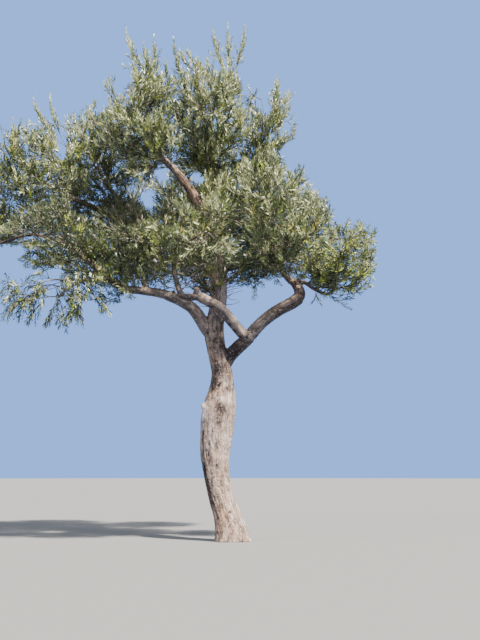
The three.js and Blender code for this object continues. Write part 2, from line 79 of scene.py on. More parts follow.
# The trunk's stations from the ground up: height, middle x, middle y, radius.
TRUNK = [
    (0, 0, 0, 0.128),
    (0.09, 0.002, 0, 0.128),
    (0.2, -0.016, 0.002, 0.124),
    (0.33, -0.056, 0.004, 0.121),
    (0.48, -0.095, 0.006, 0.12),
    (0.7, -0.13, 0.006, 0.129),
    (0.95, -0.128, 0.004, 0.147),
    (1.18, -0.108, 0, 0.156),
    (1.33, -0.086, 0, 0.133),
    (1.44, -0.074, 0, 0.108),
    (1.54, -0.074, 0, 0.095),
    (1.66, -0.098, 0, 0.091),
    (1.79, -0.128, 0, 0.089),
    (1.92, -0.146, 0, 0.093),
    (2.05, -0.14, 0, 0.09),
]

# The root flare: its reach and height, its even share, and its lean and lobes, each with the angle that it
# points to.
FLARE = 0.062
FLARE_HEIGHT = 0.15
FLARE_EVEN = 0.55
FLARE_LEAN = 0.45
FLARE_LEAN_WAY = -0.25
FLARE_LOBE = 0.3
FLARE_LOBE_WAY = -0.2

# The boughs, each a route of x, y, z and radius from inside its parent to its tip.
BOUGHS = {
    "leader": [
        (-0.14, 0, 2, 0.088),
        (-0.112, 0, 2.16, 0.083),
        (-0.1, 0, 2.37, 0.08),
        (-0.1, 0, 2.6, 0.076),
        (-0.135, -0.03, 2.84, 0.07),
        (-0.25, -0.1, 3.08, 0.058),
        (-0.38, -0.17, 3.29, 0.052),
        (-0.51, -0.25, 3.44, 0.045),
        (-0.64, -0.32, 3.555, 0.038),
    ],
    "right_bough": [
        (-0.074, 0, 1.56, 0.06),
        (-0.015, 0, 1.68, 0.066),
        (0.08, -0.01, 1.785, 0.065),
        (0.17, -0.02, 1.87, 0.062),
        (0.245, -0.04, 1.96, 0.058),
        (0.335, -0.05, 2.045, 0.057),
        (0.47, -0.08, 2.135, 0.057),
        (0.6, -0.1, 2.2, 0.058),
        (0.662, -0.102, 2.246, 0.057),
    ],
    "right_crook": [
        (0.64, -0.1, 2.228, 0.05),
        (0.668, -0.102, 2.275, 0.054),
        (0.655, -0.1, 2.34, 0.047),
        (0.618, -0.1, 2.388, 0.038),
        (0.566, -0.1, 2.425, 0.031),
        (0.52, -0.1, 2.485, 0.026),
        (0.49, -0.105, 2.56, 0.023),
    ],
    "right_side_branch": [
        (0.63, -0.1, 2.37, 0.022),
        (0.7, -0.12, 2.395, 0.021),
        (0.79, -0.15, 2.33, 0.019),
        (0.88, -0.175, 2.275, 0.017),
    ],
    "crossing_bough": [
        (0.2, -0.03, 1.88, 0.05),
        (0.14, -0.1, 1.89, 0.053),
        (0.02, -0.2, 2.01, 0.051),
        (-0.08, -0.262, 2.115, 0.049),
        (-0.23, -0.322, 2.19, 0.046),
        (-0.305, -0.35, 2.222, 0.042),
    ],
    "crossing_crook": [
        (-0.28, -0.34, 2.21, 0.034),
        (-0.37, -0.378, 2.196, 0.032),
        (-0.432, -0.398, 2.208, 0.03),
        (-0.455, -0.402, 2.262, 0.027),
        (-0.475, -0.405, 2.32, 0.025),
        (-0.5, -0.42, 2.4, 0.022),
    ],
    "left_bough": [
        (-0.17, 0, 1.9, 0.064),
        (-0.235, -0.03, 1.99, 0.064),
        (-0.35, -0.08, 2.15, 0.058),
        (-0.52, -0.15, 2.235, 0.051),
        (-0.68, -0.2, 2.275, 0.043),
        (-0.83, -0.25, 2.285, 0.038),
        (-0.99, -0.3, 2.3, 0.035),
        (-1.13, -0.33, 2.39, 0.031),
        (-1.22, -0.35, 2.465, 0.028),
    ],
    "left_spur": [
        (-0.76, -0.225, 2.28, 0.026),
        (-0.8, -0.225, 2.365, 0.027),
        (-0.815, -0.225, 2.45, 0.024),
        (-0.83, -0.225, 2.53, 0.022),
    ],
    "skirt_branch": [
        (-1.04, -0.312, 2.335, 0.018),
        (-1.13, -0.4, 2.35, 0.018),
        (-1.24, -0.45, 2.345, 0.016),
    ],
    "far_left_branch": [
        (-1.03, -0.305, 2.32, 0.022),
        (-1.11, -0.24, 2.41, 0.023),
        (-1.25, -0.19, 2.54, 0.023),
        (-1.42, -0.17, 2.64, 0.022),
        (-1.62, -0.16, 2.77, 0.021),
        (-1.82, -0.11, 2.858, 0.02),
        (-2.01, -0.1, 2.85, 0.018),
        (-2.18, -0.1, 2.785, 0.017),
    ],
    "left_high_bough": [
        (-0.1, 0, 2.6, 0.048),
        (-0.2, 0.12, 2.71, 0.05),
        (-0.42, 0.2, 2.84, 0.046),
        (-0.82, 0.22, 3.01, 0.04),
        (-1.12, 0.17, 3.12, 0.034),
        (-1.4, 0.1, 3.22, 0.029),
    ],
    "shoulder_branch": [
        (-0.7, 0.218, 2.96, 0.028),
        (-0.86, 0.3, 3.11, 0.03),
        (-1.06, 0.37, 3.3, 0.027),
        (-1.22, 0.41, 3.47, 0.023),
    ],
    "top_bough": [
        (-0.125, -0.02, 2.8, 0.05),
        (-0.09, 0.04, 2.93, 0.054),
        (-0.11, 0.08, 3.17, 0.048),
        (-0.17, 0.11, 3.4, 0.042),
        (-0.2, 0.12, 3.6, 0.037),
    ],
    "top_right_branch": [
        (-0.098, 0.062, 3.05, 0.034),
        (0.01, 0.11, 3.2, 0.035),
        (0.13, 0.14, 3.36, 0.031),
        (0.22, 0.15, 3.52, 0.027),
    ],
    "back_left_bough": [
        (-0.1, 0.01, 2.52, 0.042),
        (-0.2, 0.16, 2.62, 0.046),
        (-0.43, 0.44, 2.73, 0.04),
        (-0.8, 0.78, 2.87, 0.031),
    ],
    "back_bough": [
        (-0.1, 0.01, 2.7, 0.042),
        (-0.11, 0.16, 2.82, 0.044),
        (-0.18, 0.42, 2.97, 0.038),
        (-0.27, 0.76, 3.16, 0.031),
    ],
    "back_right_bough": [
        (-0.1, 0.01, 2.54, 0.042),
        (0.02, 0.14, 2.62, 0.044),
        (0.2, 0.4, 2.73, 0.038),
        (0.42, 0.66, 2.86, 0.031),
    ],
}


def mass(bough, seed, middle, radii, lift, share, spray, sprouts=(), leafy=1.0, fresh=0.0):
    """A mass of foliage: the source's values, then how densely it grows shoots and how fresh its leaves
    are."""
    return dict(
        bough=bough, seed=seed, middle=np.array(middle), radii=np.array(radii), lift=lift, share=share,
        spray=spray, sprouts=sprouts, leafy=leafy, fresh=fresh,
    )


MASSES = {
    "foliage_top": mass(
        "top_bough", 11, (-0.195, 0.1, 4.08), (0.54, 0.64, 0.64), 0.9, 1.3, 1,
        sprouts=((-0.568, 0, 4.905), (-0.345, 0.06, 4.775), (-0.175, 0.09, 5.095), (-0.025, 0.12, 5.14),
                 (0.15, 0.08, 5.11)),
    ),
    "foliage_top_left": mass(
        "leader", 22, (-0.88, -0.1, 4.01), (0.48, 0.6, 0.55), 0.9, 1.2, 1,
        sprouts=((-1.045, -0.08, 4.985), (-0.87, -0.06, 4.83), (-0.76, -0.14, 4.86)), fresh=0.2,
    ),
    "foliage_top_right": mass(
        "top_right_branch", 33, (0.32, 0.17, 3.9), (0.35, 0.52, 0.53), 0.9, 0.9, 0.95,
        sprouts=((0.475, 0.16, 4.57), (0.592, 0.15, 4.405)),
    ),
    "foliage_left_high": mass(
        "left_high_bough", 44, (-1.85, 0.02, 3.45), (0.56, 0.64, 0.54), 0.9, 1.2, 1,
        sprouts=((-1.765, -0.15, 4.235), (-1.945, -0.06, 4.245), (-2.165, 0.01, 4.035)), fresh=0.2,
    ),
    "foliage_left_shoulder": mass(
        "shoulder_branch", 55, (-1.4, 0.48, 3.85), (0.45, 0.54, 0.52), 0.9, 0.9, 1,
        sprouts=((-1.28, 0.43, 4.52), (-1.49, 0.44, 4.33)),
    ),
    "foliage_left_tip": mass(
        "far_left_branch", 66, (-2.23, -0.12, 2.96), (0.28, 0.4, 0.3), 0.8, 0.6, 0.8, fresh=0.2,
    ),
    "foliage_left_low": mass(
        "left_bough", 77, (-1.56, -0.48, 2.74), (0.52, 0.52, 0.35), 0.3, 1, 0.95, leafy=1.2, fresh=0.1,
    ),
    "foliage_left_skirt": mass(
        "skirt_branch", 88, (-1.54, -0.48, 2.18), (0.56, 0.4, 0.3), -0.9, 0.8, 0.7, leafy=0.75, fresh=0.15,
    ),
    "foliage_centre": mass(
        "left_spur", 99, (-0.85, -0.42, 2.93), (0.48, 0.5, 0.4), 0.5, 1, 0.95,
    ),
    "foliage_front": mass(
        "crossing_crook", 110, (-0.24, -0.68, 2.72), (0.46, 0.46, 0.35), 0.4, 0.9, 0.9, fresh=0.15,
    ),
    "foliage_right": mass(
        "right_crook", 121, (0.37, -0.24, 2.98), (0.6, 0.62, 0.57), 0.8, 1.3, 1,
    ),
    "foliage_right_low": mass(
        "right_side_branch", 132, (1.05, -0.22, 2.6), (0.42, 0.46, 0.34), 0.3, 0.8, 0.85, leafy=1.2,
        fresh=1,
    ),
    "foliage_back_left": mass(
        "back_left_bough", 143, (-1.15, 1.04, 3.11), (0.64, 0.56, 0.52), 0.6, 0.9, 1.05,
    ),
    "foliage_back": mass(
        "back_bough", 154, (-0.4, 1.14, 3.52), (0.6, 0.52, 0.58), 0.8, 1, 1.05,
    ),
    "foliage_back_right": mass(
        "back_right_bough", 165, (0.6, 0.92, 3.15), (0.56, 0.56, 0.52), 0.6, 0.9, 1.05,
    ),
}
NAMES = list(MASSES)
MIDDLES = np.array([MASSES[name]["middle"] for name in NAMES])
RADII = np.array([MASSES[name]["radii"] for name in NAMES])

# Finer wands between the masses' sprouts: the places that their tips reach.
WANDS = {
    "foliage_top": [(-0.65, 0, 4.68), (-0.5, -0.05, 4.76), (-0.43, 0.05, 4.83)],
    "foliage_left_shoulder": [(-1.42, 0.4, 4.42)],
    "foliage_top_right": [(0.2, 0.12, 4.44)],
}

# Places kept open towards the viewpoint: from x, z to x, z in the plane y = 0, half width, and the y that
# they are kept open before.
OPENINGS = [
    ((-0.7, 3.545), (-0.64, 3.48), 0.075, math.inf),
    ((-0.83, 3.3), (-0.79, 3.2), 0.085, math.inf),
    ((-0.35, 3.51), (-0.29, 3.44), 0.075, math.inf),
    ((-2.26, 2.7), (-1.99, 2.73), 0.085, math.inf),
    ((-0.66, 3.57), (-0.29, 3.2), 0.075, -0.06),
]

# Shaded hollows of the crown, written in the same way: fine growth fills them further back, and their
# leaves take the dark tint as painted shade. The last ones are places of painted shade without a hollow.
HOLLOWS = [
    ((-1.4, 3.24), (-0.98, 3.15), 0.165, -0.28),
    ((-0.7, 3.2), (-0.6, 3.08), 0.11, -0.3),
    ((-1.7, 2.88), (-1.05, 2.8), 0.19, -math.inf),
    ((-1.95, 3.08), (-1.5, 3.17), 0.18, -math.inf),
    ((-0.72, 3.2), (-0.52, 3.12), 0.13, -math.inf),
]

# Gaps between the hanging tufts of the skirt, before the bare far left branch and in the crown's outline,
# which no fine growth fills.
GAPS = [
    ((-2.3, 2.83), (-1.88, 2.885), 0.04, -0.08),
    ((-1.68, 2.53), (-1.725, 2.25), 0.055, math.inf),
    ((-1.36, 2.17), (-1.27, 1.9), 0.08, math.inf),
    ((0.13, 4.56), (0.2, 4.43), 0.055, math.inf),
    ((0.3, 4.3), (0.36, 4.2), 0.055, math.inf),
    ((0.56, 3.75), (0.61, 3.6), 0.06, math.inf),
    ((0.78, 3.52), (0.92, 3.32), 0.04, math.inf),
    ((-1.11, 4.42), (-1.04, 4.53), 0.055, math.inf),
    ((-1.31, 4.2), (-1.24, 4.3), 0.05, math.inf),
    ((-1.68, 3.95), (-1.66, 3.7), 0.045, math.inf),
]

# Leafy suckers in the crown's inside: limb, the shares of it between which they stand, how many, their
# length, and the way that they lean.
SUCKERS = [
    ("leader", 0.12, 0.24, 5, 0.24, (-0.6, -1.2, 0)),
    ("leader", 0.13, 0.36, 12, 0.26, (-1.8, -0.6, -0.3)),
    ("leader", 0.2, 0.34, 8, 0.36, (1.6, -0.5, -0.5)),
    ("leader", 0.19, 0.42, 9, 0.3, (0, 0, 0.15)),
    ("leader", 0.42, 0.62, 7, 0.36, (0, 0, 0.15)),
    ("leader", 0.91, 1, 8, 0.3, (0.3, -0.6, 0.8)),
    ("leader", 0.9, 1, 8, 0.34, (-1.2, -0.4, -0.1)),
    ("leader", 0.9, 1, 8, 0.34, (-0.7, 0.2, -1)),
    ("leader", 0.5, 0.66, 14, 0.26, (0.1, -1, 0.2)),
    ("foliage_top_left", 0, 0.4, 12, 0.26, (0, -1, 0)),
    ("left_bough", 0.5, 0.9, 6, 0.26, (0, 0, 0.6)),
    ("left_bough", 0.66, 1, 20, 0.3, (0, -0.8, 0.1)),
    ("left_bough", 0.45, 0.75, 8, 0.3, (0, -0.2, 1)),
    ("left_spur", 0.35, 1, 11, 0.22, (0, -0.4, 0.1)),
    ("crossing_crook", 0.5, 1, 10, 0.22, (0, -0.3, 0.1)),
    ("foliage_front", 0, 0.5, 6, 0.24, (0, -0.6, -0.4)),
    ("foliage_centre", 0, 0.5, 6, 0.24, (0, -0.6, -0.4)),
    ("right_crook", 0.6, 1, 5, 0.24, (0, 0, 0.5)),
    ("right_crook", 0.75, 1, 10, 0.28, (-1.6, -0.3, -0.2)),
    ("foliage_right", 0, 0.3, 6, 0.3, (-1.4, -0.3, -0.6)),
    ("foliage_top_left", 0.8, 1, 10, 0.55, (0.9, 0, 1.6)),
    ("foliage_top", 0.8, 1, 8, 0.5, (-1.4, 0, 1.2)),
    ("foliage_top", 0, 0.4, 12, 0.26, (0, -1, 0.1)),
    ("right_side_branch", 0.35, 1, 18, 0.22, (0.4, -0.5, 0.8)),
    ("far_left_branch", 0.15, 0.6, 6, 0.26, (0, 0, 0.8)),
    ("left_high_bough", 0.1, 0.9, 12, 0.36, (0, 0, 0.15)),
    ("left_high_bough", 0.3, 1, 16, 0.3, (0, -0.9, 0.1)),
    ("shoulder_branch", 0.2, 0.9, 7, 0.34, (0, 0, 0.15)),
    ("top_bough", 0.2, 0.95, 10, 0.34, (0, 0, 0.15)),
    ("top_bough", 0.05, 1, 34, 0.3, (0, -1, 0.1)),
    ("top_right_branch", 0.2, 0.95, 7, 0.32, (0, 0, 0.15)),
    ("back_left_bough", 0.3, 0.9, 7, 0.34, (0, 0, 0.15)),
    ("back_bough", 0.2, 0.9, 7, 0.34, (0, 0, 0.15)),
    ("back_right_bough", 0.3, 0.9, 7, 0.34, (0, 0, 0.15)),
]

# Bare twigs that cross before the leader's foot, in the same way, and the suckers on every stem.
BARE_TWIGS = [
    ("leader", 0.08, 0.36, 40, 0.26, (0, -1, 0)),
    ("leader", 0.08, 0.34, 90, 0.3, (-1.4, -0.8, -0.1)),
    ("leader", 0.16, 0.34, 20, 0.2, (0.8, -0.8, 0)),
    ("leader", 0.1, 0.24, 12, 0.24, (0.8, -0.6, -1)),
    ("crossing_crook", 0.5, 1, 14, 0.3, (0.9, 0, 0)),
    ("foliage_front", 0, 0.5, 26, 0.3, (0.4, 0, -0.7)),
]
STEM_SUCKERS = (0.03, 0.6, 6, 0.3, (0, -0.2, 0.15))

# The source's rule for stems, twigs and sprays. Lengths are in metres, the rest are spreads, and shares of
# a curve or of a size.
STEM_TAPER = 0.42
STEM_BEND = 0.4
STEM_NODES = (0.3, 0.45, 0.6, 0.75, 0.88, 1)
STEM_ROOM = math.cos(math.pi / 5)
TWIGS = 7
TWIG_RADIUS = 0.01
TWIG_TIP = 0.5
TWIG_NODES = (0.35, 0.6, 0.85)
TWIG_ROOM = math.cos(math.pi / 3)
TWIG_CHECKS = (0.4, 0.55, 0.7, 0.85, 1)
TWIG_CLEARANCE = 0.018
TIP_TURN = 0.2
SPRAY_LENGTH = 0.42
SPRAY_WIDTH = 0.42
SPRAY_THICKNESS = 0.04
SPRAY_WIDEST = 0.45
SPRAY_TURN = 0.75
SPRAY_CUTS = (1, 0.8, 0.62)
SPRAY_CLEARANCE = 0.008
TWIG_SPRAYS = (0.35, 0.55, 0.72, 0.92)
LAST_SPRAY = 0.5
SPROUT_SPRAYS = (0.55, 0.75, 0.95)
SPROUT_SPRAY = 0.7
SPROUT_SLIM = 0.6
SPROUT_RISE = 0.8
SIZE_SPREAD = 0.2
TURN_SPREAD = 0.3
SPIN_SPREAD = 0.3
REACH = 0.97
REACH_SPREAD = 0.07
DRAWN_IN = (1, 0.86, 0.72, 0.58)
EDGE = 0.03
PATH_WEIGHT = 0.35
TURN_WEIGHT = 0.3
CHECK_STEPS = 16

# How many points stand for a twig's curve, and how many points are measured against the limbs, or against
# the shoots' tips, at a time.
ARC_POINTS = 33
BLOCK = 4000
TIP_BLOCK = 500

# Where fine growth may fill: its least and greatest depth in a mass, how finely that varies, and how much
# of an opening's width and ends it leaves free.
FINE_DEPTHS = (0.9, 1.2)
FINE_RAGGED = 6
FINE_OPENING = 0.68
FINE_INSET = 0.05
MOST_INSET = 0.25

# Branchlets: root and tip radius, shortest length, and the range of depths in their mass, with the power
# that draws them outwards. A spray's axis is one of them, with two nodes after a short path.
BRANCHLET = (0.004, 0.002)
BRANCHLET_LEAST = 0.08
BRANCHLET_DEPTHS = (0.5, 1.0)
BRANCHLET_OUTWARD = 0.6
SPRAY_RISE = 0.12
SPRAY_NODES = (0.4, 0.8)
SPRAY_PATH = 0.4
SPROUT_AXIS = 0.5

# Wands: root and tip radius, how much closer their shoots stand and between which shares, and the share
# from which leaves sit on the wand itself.
WAND = (0.005, 0.0025)
WAND_SPACING = 0.8
WAND_SHOOTS = (0.2, 0.85)
WAND_LEAVES_FROM = 0.4

# Suckers: how far they follow their limb, their sizes, how much they turn down or up, the shares at which
# they have to be clear, and their shoots' lift.
SUCKER_ALONG = 0.5
SUCKER_SIZES = (0.6, 1.2)
SUCKER_RISES = (-0.5, 0.9)
SUCKER_CHECKS = (0.6, 0.8, 1)
SUCKER_LIFT = 0.4

# Thin places: fewer tips than this within this way round, how far apart they are, and the shortest and
# longest twig to one.
THIN_ROUND = 0.13
THIN_UNDER = 5
THIN_APART = 0.1
THIN_LENGTHS = (0.06, 0.5)
THIN_LIFT = 0.5

# Shoots: spread of the angle round their twig, turn off it in radians, how soon and how far they rise, and
# their sizes. A shoot that has no room is tried once more, shorter.
SHOOT_SPIN = 0.3
SHOOT_TURNS = (0.55, 1.05)
SHOOT_END_TURN = 0.15
SHOOT_CLOSE_TURN = 0.5
SHOOT_EARLY_RISE = 0.5
SHOOT_RISES = (0.6, 1.4)
SHOOT_SIZES = (0.65, 1.3)
SHOOT_CUTS = (1, 0.6)
SHOOT_CHECK = 0.6
SHOOTS_FROM = 0.1
TWIG_SHOOTS_FROM = 0.3

# The twigs' meshes: sides and rings, how far the stems start inside their boughs, and radii from root to
# tip.
STEM_SIDES, STEM_RINGS, STEM_SUNK = 9, 12, 0.02
TWIG_SIDES, TWIG_RINGS = 5, 8
FINE_SIDES = 4
BRANCHLET_RADII = (0.0042, 0.0031, 0.0026, 0.0018)
BARE_RADII = (0.0055, 0.0042, 0.003, 0.002)
SHOOT_RADIUS = 0.0022
SHOOT_THINNER = 0.75

# Leaves: the outline's points as shares of length and width, with 1 where they lie raised, and that rise as
# a part of the width. Then the spreads of angle, turn off the shoot, way, face and size, how many a piece
# holds, and how much darker and lighter their colour gets.
LEAF_OUTLINE = ((0, 0, 0), (0.3, 0.46, 1), (0.72, 0.38, 1), (1, 0, 0), (0.5, -0.5, 1))
LEAF_KEEL = 12
LEAVES_FROM = 0.08
LEAF_SPIN = 0.25
LEAF_TURNS = (0.4, 1.05)
LEAF_CLOSE_TURN = 0.65
LEAF_LIFT = 0.2
LEAF_SWAY = 0.1
LEAF_TWIST = 0.35
LEAF_SIZES = (0.75, 1.15)
LEAVES_IN_PIECE = 32000
LEAF_UNEVEN = (0.42, 1.6)

# The leaves' tints, each with how pale its underside is, and what close-leaved wands make of their chances.
# The dark tint, with its darker underside, is a dark leaf colour and, where the shade deals it out, painted
# shade.
TINTS = {"deep": 0.4, "olive": 0.6, "grey": 1.2, "fresh": 0.7, "yellow": 1}
CLOSE_TINTS = (0.3, 0.8, 3.5, 0.6, 1)

# The shade that deals out the leaves' tints as painted shade and painted light: the grid's cell, how many
# cells towards the key light count, how many shoots make it deep, how far below its tip a shoot is looked
# up in the hollows and how much wider those are then, and the height above which the crown grows paler,
# and over how much.
SHADE_CELL = 0.12
SHADE_STEPS = 5
SHADE_SHOOTS = 9
HOLLOW_DROP = 0.05
HOLLOW_WIDTH = 1.2
PALER_FROM, PALER_OVER = 2, 2.2

# The stage: turns and sizes of the lamps in degrees, their colour, the side lamp's share of the key light,
# and the floor.
KEY_TURN = (35, 0, 46)
KEY_SIZE = 3
SIDE_TURN = (60, 0, -50)
SIDE_SIZE = 40
SIDE_SHARE = 0.12
LAMP_COLOUR = (1, 0.95, 0.87)
FLOOR_RADIUS = 60
FLOOR_SIDES = 64
FLOOR_DROP = 0.001


# Curves

def unit(v):
    """v / |v| along the last axis."""
    return v / np.maximum(np.linalg.norm(v, axis=-1, keepdims=True), 1e-12)


def mixed(a, b, share):
    """(1 - s) a + s b."""
    return a + (b - a) * share


class Curve:
    """A curve held as close points with the share of its length and the radius at each."""

    def __init__(self, points, radii):
        self.points, self.radii = points, radii
        steps = np.linalg.norm(np.diff(points, axis=0), axis=1)
        self.length = float(steps.sum())
        self.shares = np.concatenate([[0.0], np.cumsum(steps)]) / self.length

    def at(self, share):
        """The point at a share of the length."""
        return np.stack([np.interp(share, self.shares, self.points[:, k]) for k in range(3)], axis=-1)

    def way(self, share):
        """The unit tangent: a central difference of at()."""
        share = np.asarray(share, float)
        return unit(self.at(np.minimum(share + 1e-3, 1)) - self.at(np.maximum(share - 1e-3, 0)))

    def radius(self, share):
        """The radius at a share of the length."""
        return np.interp(share, self.shares, self.radii)


def arc(start, bend, end, first_radius, last_radius):
    """(1-t)^2 a + 2t(1-t) b + t^2 c, with the radius falling evenly along its length."""
    t = np.linspace(0, 1, ARC_POINTS)[:, None]
    points = (1 - t) ** 2 * start + 2 * t * (1 - t) * bend + t**2 * end
    curve = Curve(points, np.zeros(len(points)))
    curve.radii = mixed(first_radius, last_radius, curve.shares)
    return curve


def through(route, steps=14):
    """A curve through stations p0..pn: on each span a cubic with the tangents of centripetal spacing,
    dt = |p' - p|^(1/2), and the radius even between stations."""
    route = np.array(route, float)
    p = np.vstack([2 * route[0] - route[1], route, 2 * route[-1] - route[-2]])[:, :3]
    dt = np.linalg.norm(np.diff(p, axis=0), axis=1) ** 0.5
    points, radii = [], []
    t = np.linspace(0, 1, steps, endpoint=False)[:, None]
    for i in range(1, len(p) - 2):
        m1 = dt[i] * ((p[i] - p[i - 1]) / dt[i - 1] - (p[i + 1] - p[i - 1]) / (dt[i - 1] + dt[i])
                      + (p[i + 1] - p[i]) / dt[i])
        m2 = dt[i] * ((p[i + 1] - p[i]) / dt[i] - (p[i + 2] - p[i]) / (dt[i] + dt[i + 1])
                      + (p[i + 2] - p[i + 1]) / dt[i + 1])
        c2 = -3 * p[i] + 3 * p[i + 1] - 2 * m1 - m2
        c3 = 2 * p[i] - 2 * p[i + 1] + m1 + m2
        points.append(p[i] + m1 * t + c2 * t**2 + c3 * t**3)
        radii.append(mixed(route[i - 1, 3], route[i, 3], t[:, 0]))
    return Curve(np.vstack(points + [p[-2:-1]]), np.concatenate(radii + [route[-1:, 3]]))


def turned(a, b, v):
    """v after the least turn that takes unit a to unit b: v + w x v + w x (w x v) / (1 + a.b), where
    w = a x b."""
    w = np.cross(a, b)
    wv = np.cross(w, v)
    return v + wv + np.cross(w, wv) / max(1 + float(a @ b), 1e-9)


def spoke(curve, share, angle):
    """The way out from a curve at an angle round it, in a frame carried without twist from its start."""
    level = np.array([math.cos(angle), math.sin(angle), 0.0])
    first = curve.way(0)
    return turned(first, curve.way(share), turned(UP, first, level))


def seeded(seed):
    """Numbers from 0 to 1: s' = (1664525 s + 1013904223) mod 2^32."""
    state = seed
    while True:
        state = (state * 1664525 + 1013904223) % 2**32
        yield state / 2**32


def vary(numbers, spread):
    """1, give or take as much as the spread."""
    return 1 + spread * (2 * next(numbers) - 1)


# What the foliage keeps clear of

def stem_of(name):
    """A stem runs on from its bough's tip to the middle of its mass."""
    bough = LIMBS[MASSES[name]["bough"]]
    root, way, heart = bough.at(1), bough.way(1), MASSES[name]["middle"]
    bend = root + way * np.linalg.norm(heart - root) * STEM_BEND
    return arc(root, bend, heart, bough.radius(1), bough.radius(1) * STEM_TAPER)


TRUNK_LINE = Curve(np.array([(x, y, z) for z, x, y, r in TRUNK], float), np.array([s[3] for s in TRUNK]))
LIMBS = {name: through(route) for name, route in BOUGHS.items()}
STEMS = {name: stem_of(name) for name in NAMES}


def limb_pieces():
    """Every limb and stem as short straight pieces: start, run, squared length, radius and owner."""
    lines = [("trunk", TRUNK_LINE.points, TRUNK_LINE.radii)]
    shares = np.linspace(0, 1, CHECK_STEPS + 1)
    lines += [(name, c.at(shares), c.radius(shares)) for name, c in [*LIMBS.items(), *STEMS.items()]]
    start = np.vstack([p[:-1] for _, p, _ in lines])
    run = np.vstack([np.diff(p, axis=0) for _, p, _ in lines])
    radius = np.concatenate([np.maximum(r[:-1], r[1:]) for _, _, r in lines])
    owner = np.concatenate([[name] * (len(p) - 1) for name, p, _ in lines])
    return start, run, (run**2).sum(1), radius, owner


PIECES = limb_pieces()


def clear_of_limbs(name, points, clearance):
    """True for points further than the clearance from every limb, and from every stem but the mass's own:
    the distance to piece i is |p - a - clamp((p - a).d / d.d) d| - r."""
    start, run, squared, radius, owner = PIECES
    others = owner != name
    start, run, squared, radius = start[others], run[others], squared[others], radius[others]
    out = np.empty(len(points), bool)
    for low in range(0, len(points), BLOCK):
        from_start = points[low:low + BLOCK, None] - start
        share = np.clip((from_start * run).sum(2) / squared, 0, 1)
        gap = np.linalg.norm(from_start - share[..., None] * run, axis=2) - radius
        out[low:low + BLOCK] = gap.min(1) > clearance
    return out


def in_opening(points, narrowed, inset=0, places=OPENINGS):
    """True for points that are seen from the viewpoint in a place that is kept open, at a share of its
    width and drawn in at its ends."""
    share = -VIEWPOINT[1] / (points[:, 1] - VIEWPOINT[1])
    seen = (VIEWPOINT + (points - VIEWPOINT) * share[:, None])[:, [0, 2]]
    hidden = np.zeros(len(points), bool)
    for start, end, half, before in places:
        start, run = np.array(start), np.subtract(end, start)
        drawn_in = min(MOST_INSET, inset / np.linalg.norm(run))
        along = np.clip((seen - start) @ run / (run @ run), drawn_in, 1 - drawn_in)
        gap = np.linalg.norm(seen - start - along[:, None] * run, axis=1)
        hidden |= (gap < half * narrowed) & (points[:, 1] < before)
    return hidden


def in_depth(places):
    """The same places, at every distance from the viewpoint."""
    return [(start, end, half, math.inf) for start, end, half, _ in places]


def depths_of(points):
    """Each point's depth |(p - middle) / radii| in every mass."""
    return np.linalg.norm((points[:, None] - MIDDLES) / RADII, axis=2)


def fine_depth(points):
    """How far from a mass's middle fine twigs reach, as a depth: uneven, so that the crown isn't cut to
    shape."""
    return mixed(*FINE_DEPTHS, noise(points * FINE_RAGGED, 3))


def may_grow(index, points, clearance, sprout=False, fine=False):
    """True for points in the mass's own space: its depth is at most 1, unless it is a sprout's, and less
    than every other mass's; and clear of limbs and openings. Fine twigs fill the seams between the masses
    and the rims of the openings, and keep to the solids' box."""
    points = np.atleast_2d(points)
    depth = depths_of(points)
    own = depth[:, index].copy()
    depth[:, index] = np.inf
    if fine:
        free = (depth.min(1) >= own) & ((own <= fine_depth(points)) | sprout) & may_fill(points)
    else:
        free = (depth.min(1) >= own + EDGE) & ((own <= 1) | sprout) & ~in_opening(points, 1)
    free[free] = clear_of_limbs(NAMES[index], points[free], clearance)
    return free


def may_fill(points):
    """True for points in the solids' box and out of the openings' middles."""
    inside = ((points > CAD_BOX[0]) & (points < CAD_BOX[1])).all(1)
    shut = in_opening(points, FINE_OPENING, FINE_INSET) | in_opening(points, 1, 0, HOLLOWS + GAPS)
    return inside & ~shut


# The source's twigs and sprays

def best_node(nodes, target):
    """The node of least cost |t - p| (1 + w (1 - cos a)) + v s, for a turn of a and a path of s so far."""
    points, ways, paths, _ = nodes
    to = target - points
    length = np.linalg.norm(to, axis=1)
    cost = length * (1 + TURN_WEIGHT * (1 - (to * ways).sum(1) / length)) + PATH_WEIGHT * paths
    return int(np.argmin(cost))


def nodes_along(curve, shares, room, path):
    """Places on a curve where twigs may leave: point, way, path so far and widest root."""
    shares = np.array(shares, float)
    return [curve.at(shares), curve.way(shares), path + curve.length * shares, room * curve.radius(shares)]


def joined(nodes, more):
    """Two lists of nodes in one."""
    return [np.concatenate(pair) for pair in zip(nodes, more)]


def twig_targets(index, numbers):
    """Places spread round a mass by the golden angle, drawn in to its own space, then its sprouts' tips."""
    m = MASSES[NAMES[index]]
    count = round(TWIGS * m["share"])
    targets = []
    for k in range(count):
        height = 1 - (2 * k + 1) / count
        around = math.sqrt(1 - height * height)
        angle = k * GOLDEN_ANGLE + SPIN_SPREAD * (2 * next(numbers) - 1)
        reach = REACH * vary(numbers, REACH_SPREAD) / (1 + REACH_SPREAD)
        way = np.array([around * math.cos(angle), around * math.sin(angle), height])
        tries = m["middle"] + way * m["radii"] * reach * np.array(DRAWN_IN)[:, None]
        free = may_grow(index, tries, SPRAY_CLEARANCE)
        if free.any():
            targets.append((tries[free.argmax()], False))
    return targets + [(np.array(tip, float), True) for tip in m["sprouts"]]


def twig_between(node, target, lift, sprout, first_radius, last_radius):
    """A twig from a node to its target: a sprout rises early, another's tip turns with the lift."""
    bend = mixed(node, target, 0.5)
    if sprout:
        bend = mixed(bend, np.array([target[0], target[1], bend[2]]), SPROUT_RISE)
    else:
        bend = bend - UP * TIP_TURN * lift * np.linalg.norm(target - node)
    return arc(node, bend, target, first_radius, last_radius)


